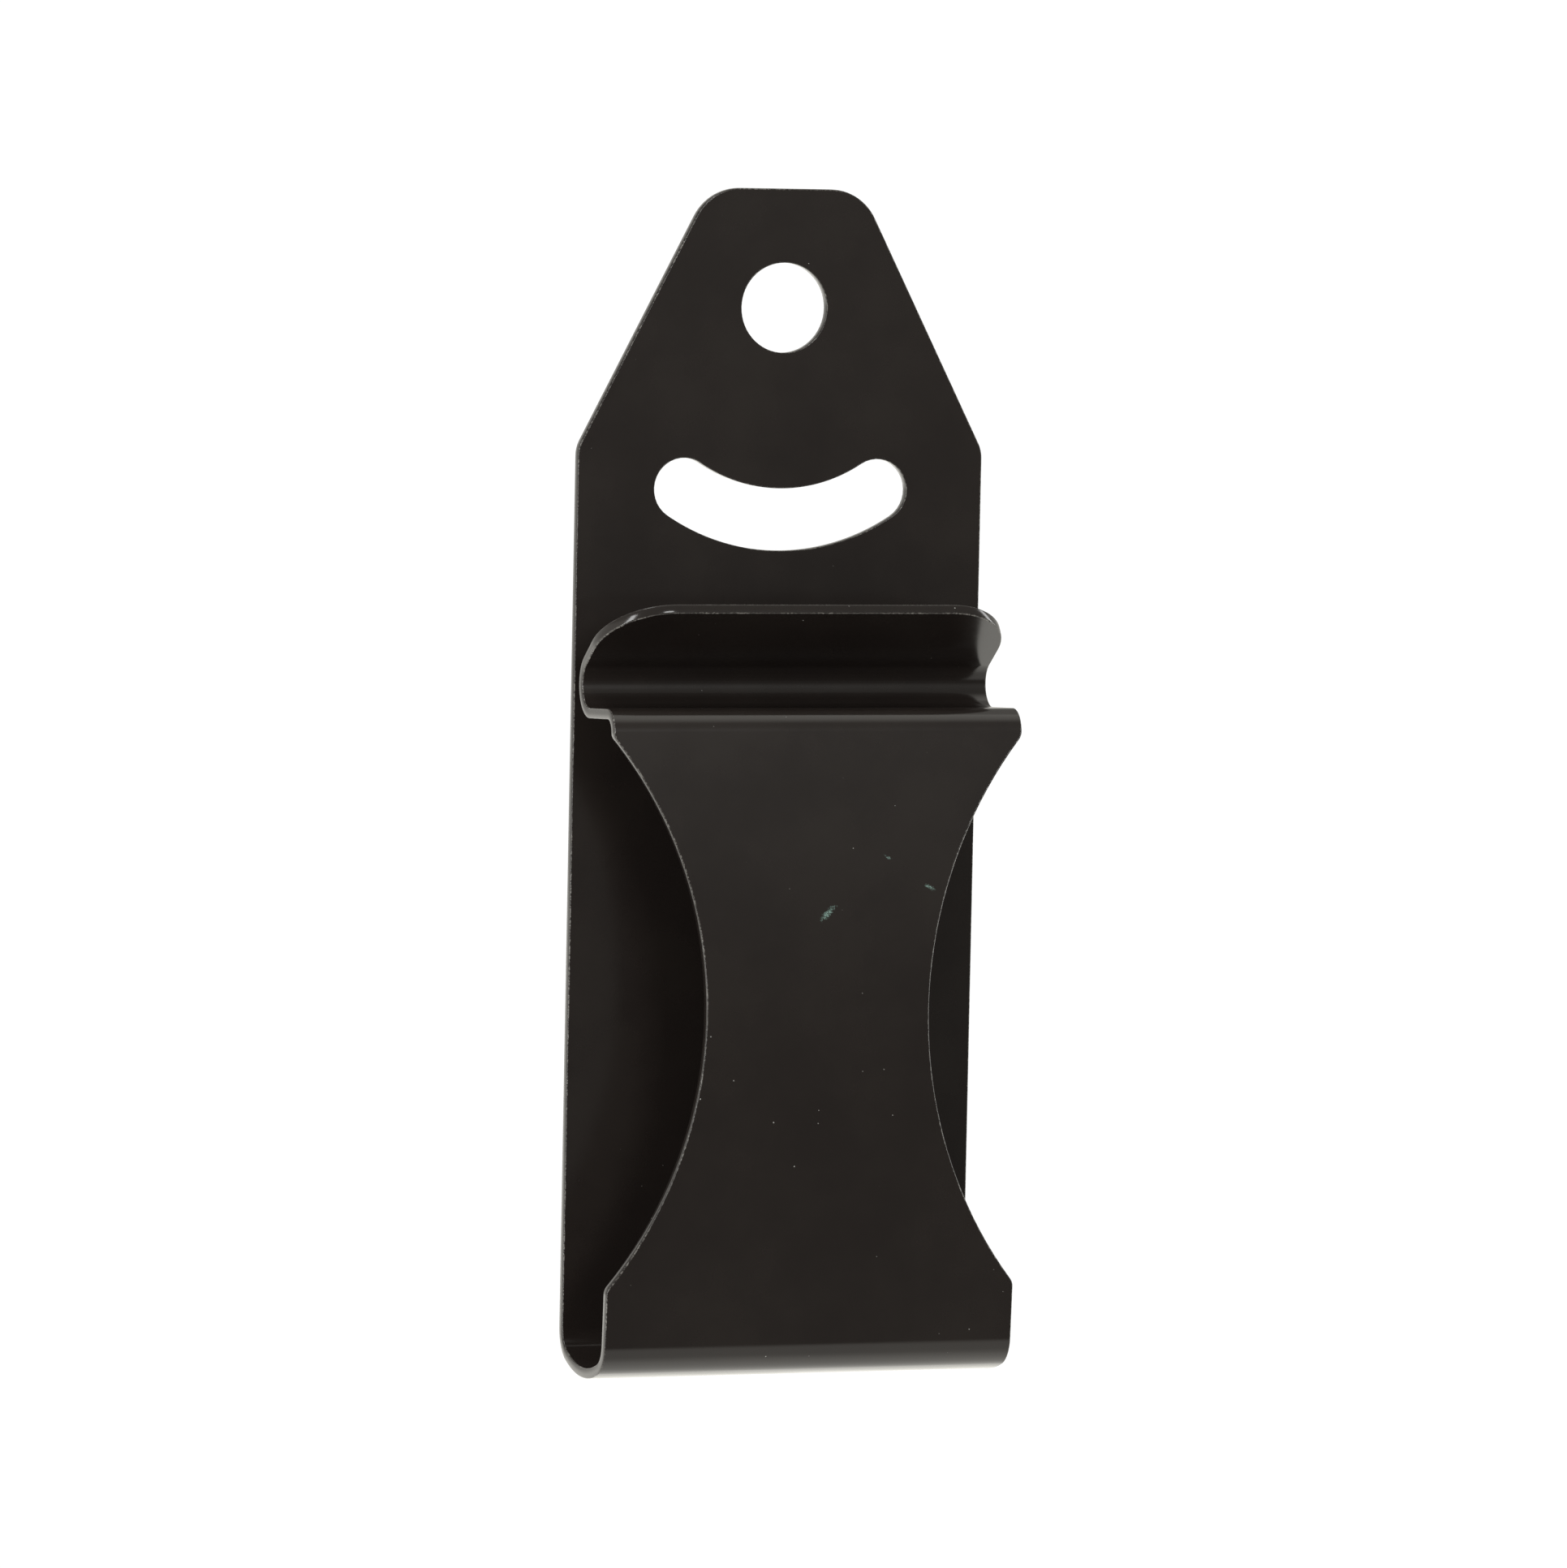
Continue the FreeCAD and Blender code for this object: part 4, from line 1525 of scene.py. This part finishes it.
    def floor(self, lowest: float) -> None:
        """Lays the round floor.

        Args:
            lowest: Height of the clip's lowest point, in metres.
        """
        mesh = bpy.data.meshes.new("pale_floor")
        bm = bmesh.new()
        bmesh.ops.create_circle(bm, cap_ends=True, radius=self.floor_radius, segments=self.floor_sides)
        bm.to_mesh(mesh)
        bm.free()
        floor = bpy.data.objects.new("pale_floor", mesh)
        floor.location = (0.0, 0.0, lowest - self.floor_drop)
        bpy.context.scene.collection.objects.link(floor)
        material = bpy.data.materials.new("pale_floor")
        material.use_nodes = True
        shader = material.node_tree.nodes["Principled BSDF"]
        for name, value in (
            ("Base Color", self.floor_colour),
            ("Roughness", self.floor_roughness),
            ("Emission Color", self.floor_light),
            ("Emission Strength", self.floor_glow),
        ):
            shader.inputs[name].default_value = value
        mesh.materials.append(material)
        floor.visible_glossy = False
        floor.visible_diffuse = False

    def set_up(self, low: Vector, high: Vector) -> None:
        """Builds the room, the floor and the lights.

        Args:
            low: Lowest corner of the clip.
            high: Highest corner of the clip.
        """
        self.room()
        self.floor(low.z)
        for light in self.lights:
            light.put((low + high) / 2)
        view = bpy.context.scene.view_settings
        view.view_transform = "Standard"
        view.look = "None"


@dataclass(frozen=True)
class Lens:
    """Camera that looks at the clip from a little to its left and above.

    Attributes:
        azimuth: Direction of the camera round the clip, in degrees from the front.
        elevation: Its height, in degrees.
        roll: Its tilt to the side, in degrees.
        reach: Distance to the point that it faces, in metres.
        focal: Focal length, in millimetres.
        sensor: Width of the sensor, in millimetres.
        nearest: Distance from which things are drawn, in metres.
        farthest: Distance up to which they are drawn, in metres.
        aim: Place that it faces, as shares of the CAD box from its lowest corner.
    """

    azimuth: float = -19.037
    elevation: float = 4.191
    roll: float = 1.154
    reach: float = 0.83658
    focal: float = 215.17
    sensor: float = 36.0
    nearest: float = 0.01
    farthest: float = 50.0
    aim: tuple[float, float, float] = (0.521211, 0.932384, 0.495529)

    def put(self, low: Vector, high: Vector) -> None:
        """Adds the camera and makes it the scene's own.

        Args:
            low: Lowest corner of the clip.
            high: Highest corner of the clip.
        """
        size = high - low
        target = low + Vector(share * length for share, length in zip(self.aim, size))
        side, rise = math.radians(self.azimuth), math.radians(self.elevation)
        back = Vector((math.sin(side) * math.cos(rise), -math.cos(side) * math.cos(rise), math.sin(rise)))
        right = Vector((0.0, 0.0, 1.0)).cross(back).normalized()
        up = back.cross(right)
        tilt = math.radians(self.roll)
        right_tilted = right * math.cos(tilt) + up * math.sin(tilt)
        up_tilted = up * math.cos(tilt) - right * math.sin(tilt)
        turn = Matrix((right_tilted, up_tilted, back)).transposed()
        camera = bpy.data.cameras.new("studio_camera")
        camera.lens = self.focal
        camera.sensor_width = self.sensor
        camera.dof.use_dof = False
        camera.clip_start = self.nearest
        camera.clip_end = self.farthest
        holder = bpy.data.objects.new("studio_camera", camera)
        holder.matrix_world = Matrix.Translation(target + back * self.reach) @ turn.to_4x4()
        bpy.context.scene.collection.objects.link(holder)
        bpy.context.scene.camera = holder


def main() -> None:
    """Builds the clip zone by zone, then the studio and the camera."""
    logging.basicConfig(level=logging.INFO, format="%(name)s: %(message)s")
    low, high = (Vector(corner) for corner in CAD_BOX)
    plate_low, plate_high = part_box("back_plate")
    stock = Stock(half_width=plate_high.x / MM, sheet=(plate_high.y - plate_low.y) / MM)
    profile = SideProfile(foot_drop=-plate_low.z / MM)
    finish = LacquerFinish()
    zones: tuple[Zone, ...] = (
        BackPlate(stock, crown_rise=plate_high.z / MM, foot_drop=profile.foot_drop),
        BottomBend(stock, profile=profile),
        FrontLeaf(stock, profile=profile),
        CatchBead(stock, profile=profile),
        LeadInLip(replace(stock, end_slant=LIP_SLANT), profile=profile),
    )
    for zone in zones:
        piece = zone.make(finish)
        LOG.info("%s: %d faces", piece.name, len(piece.data.polygons))
    Studio().set_up(low, high)
    Lens().put(low, high)


if __name__ == "__main__":
    main()
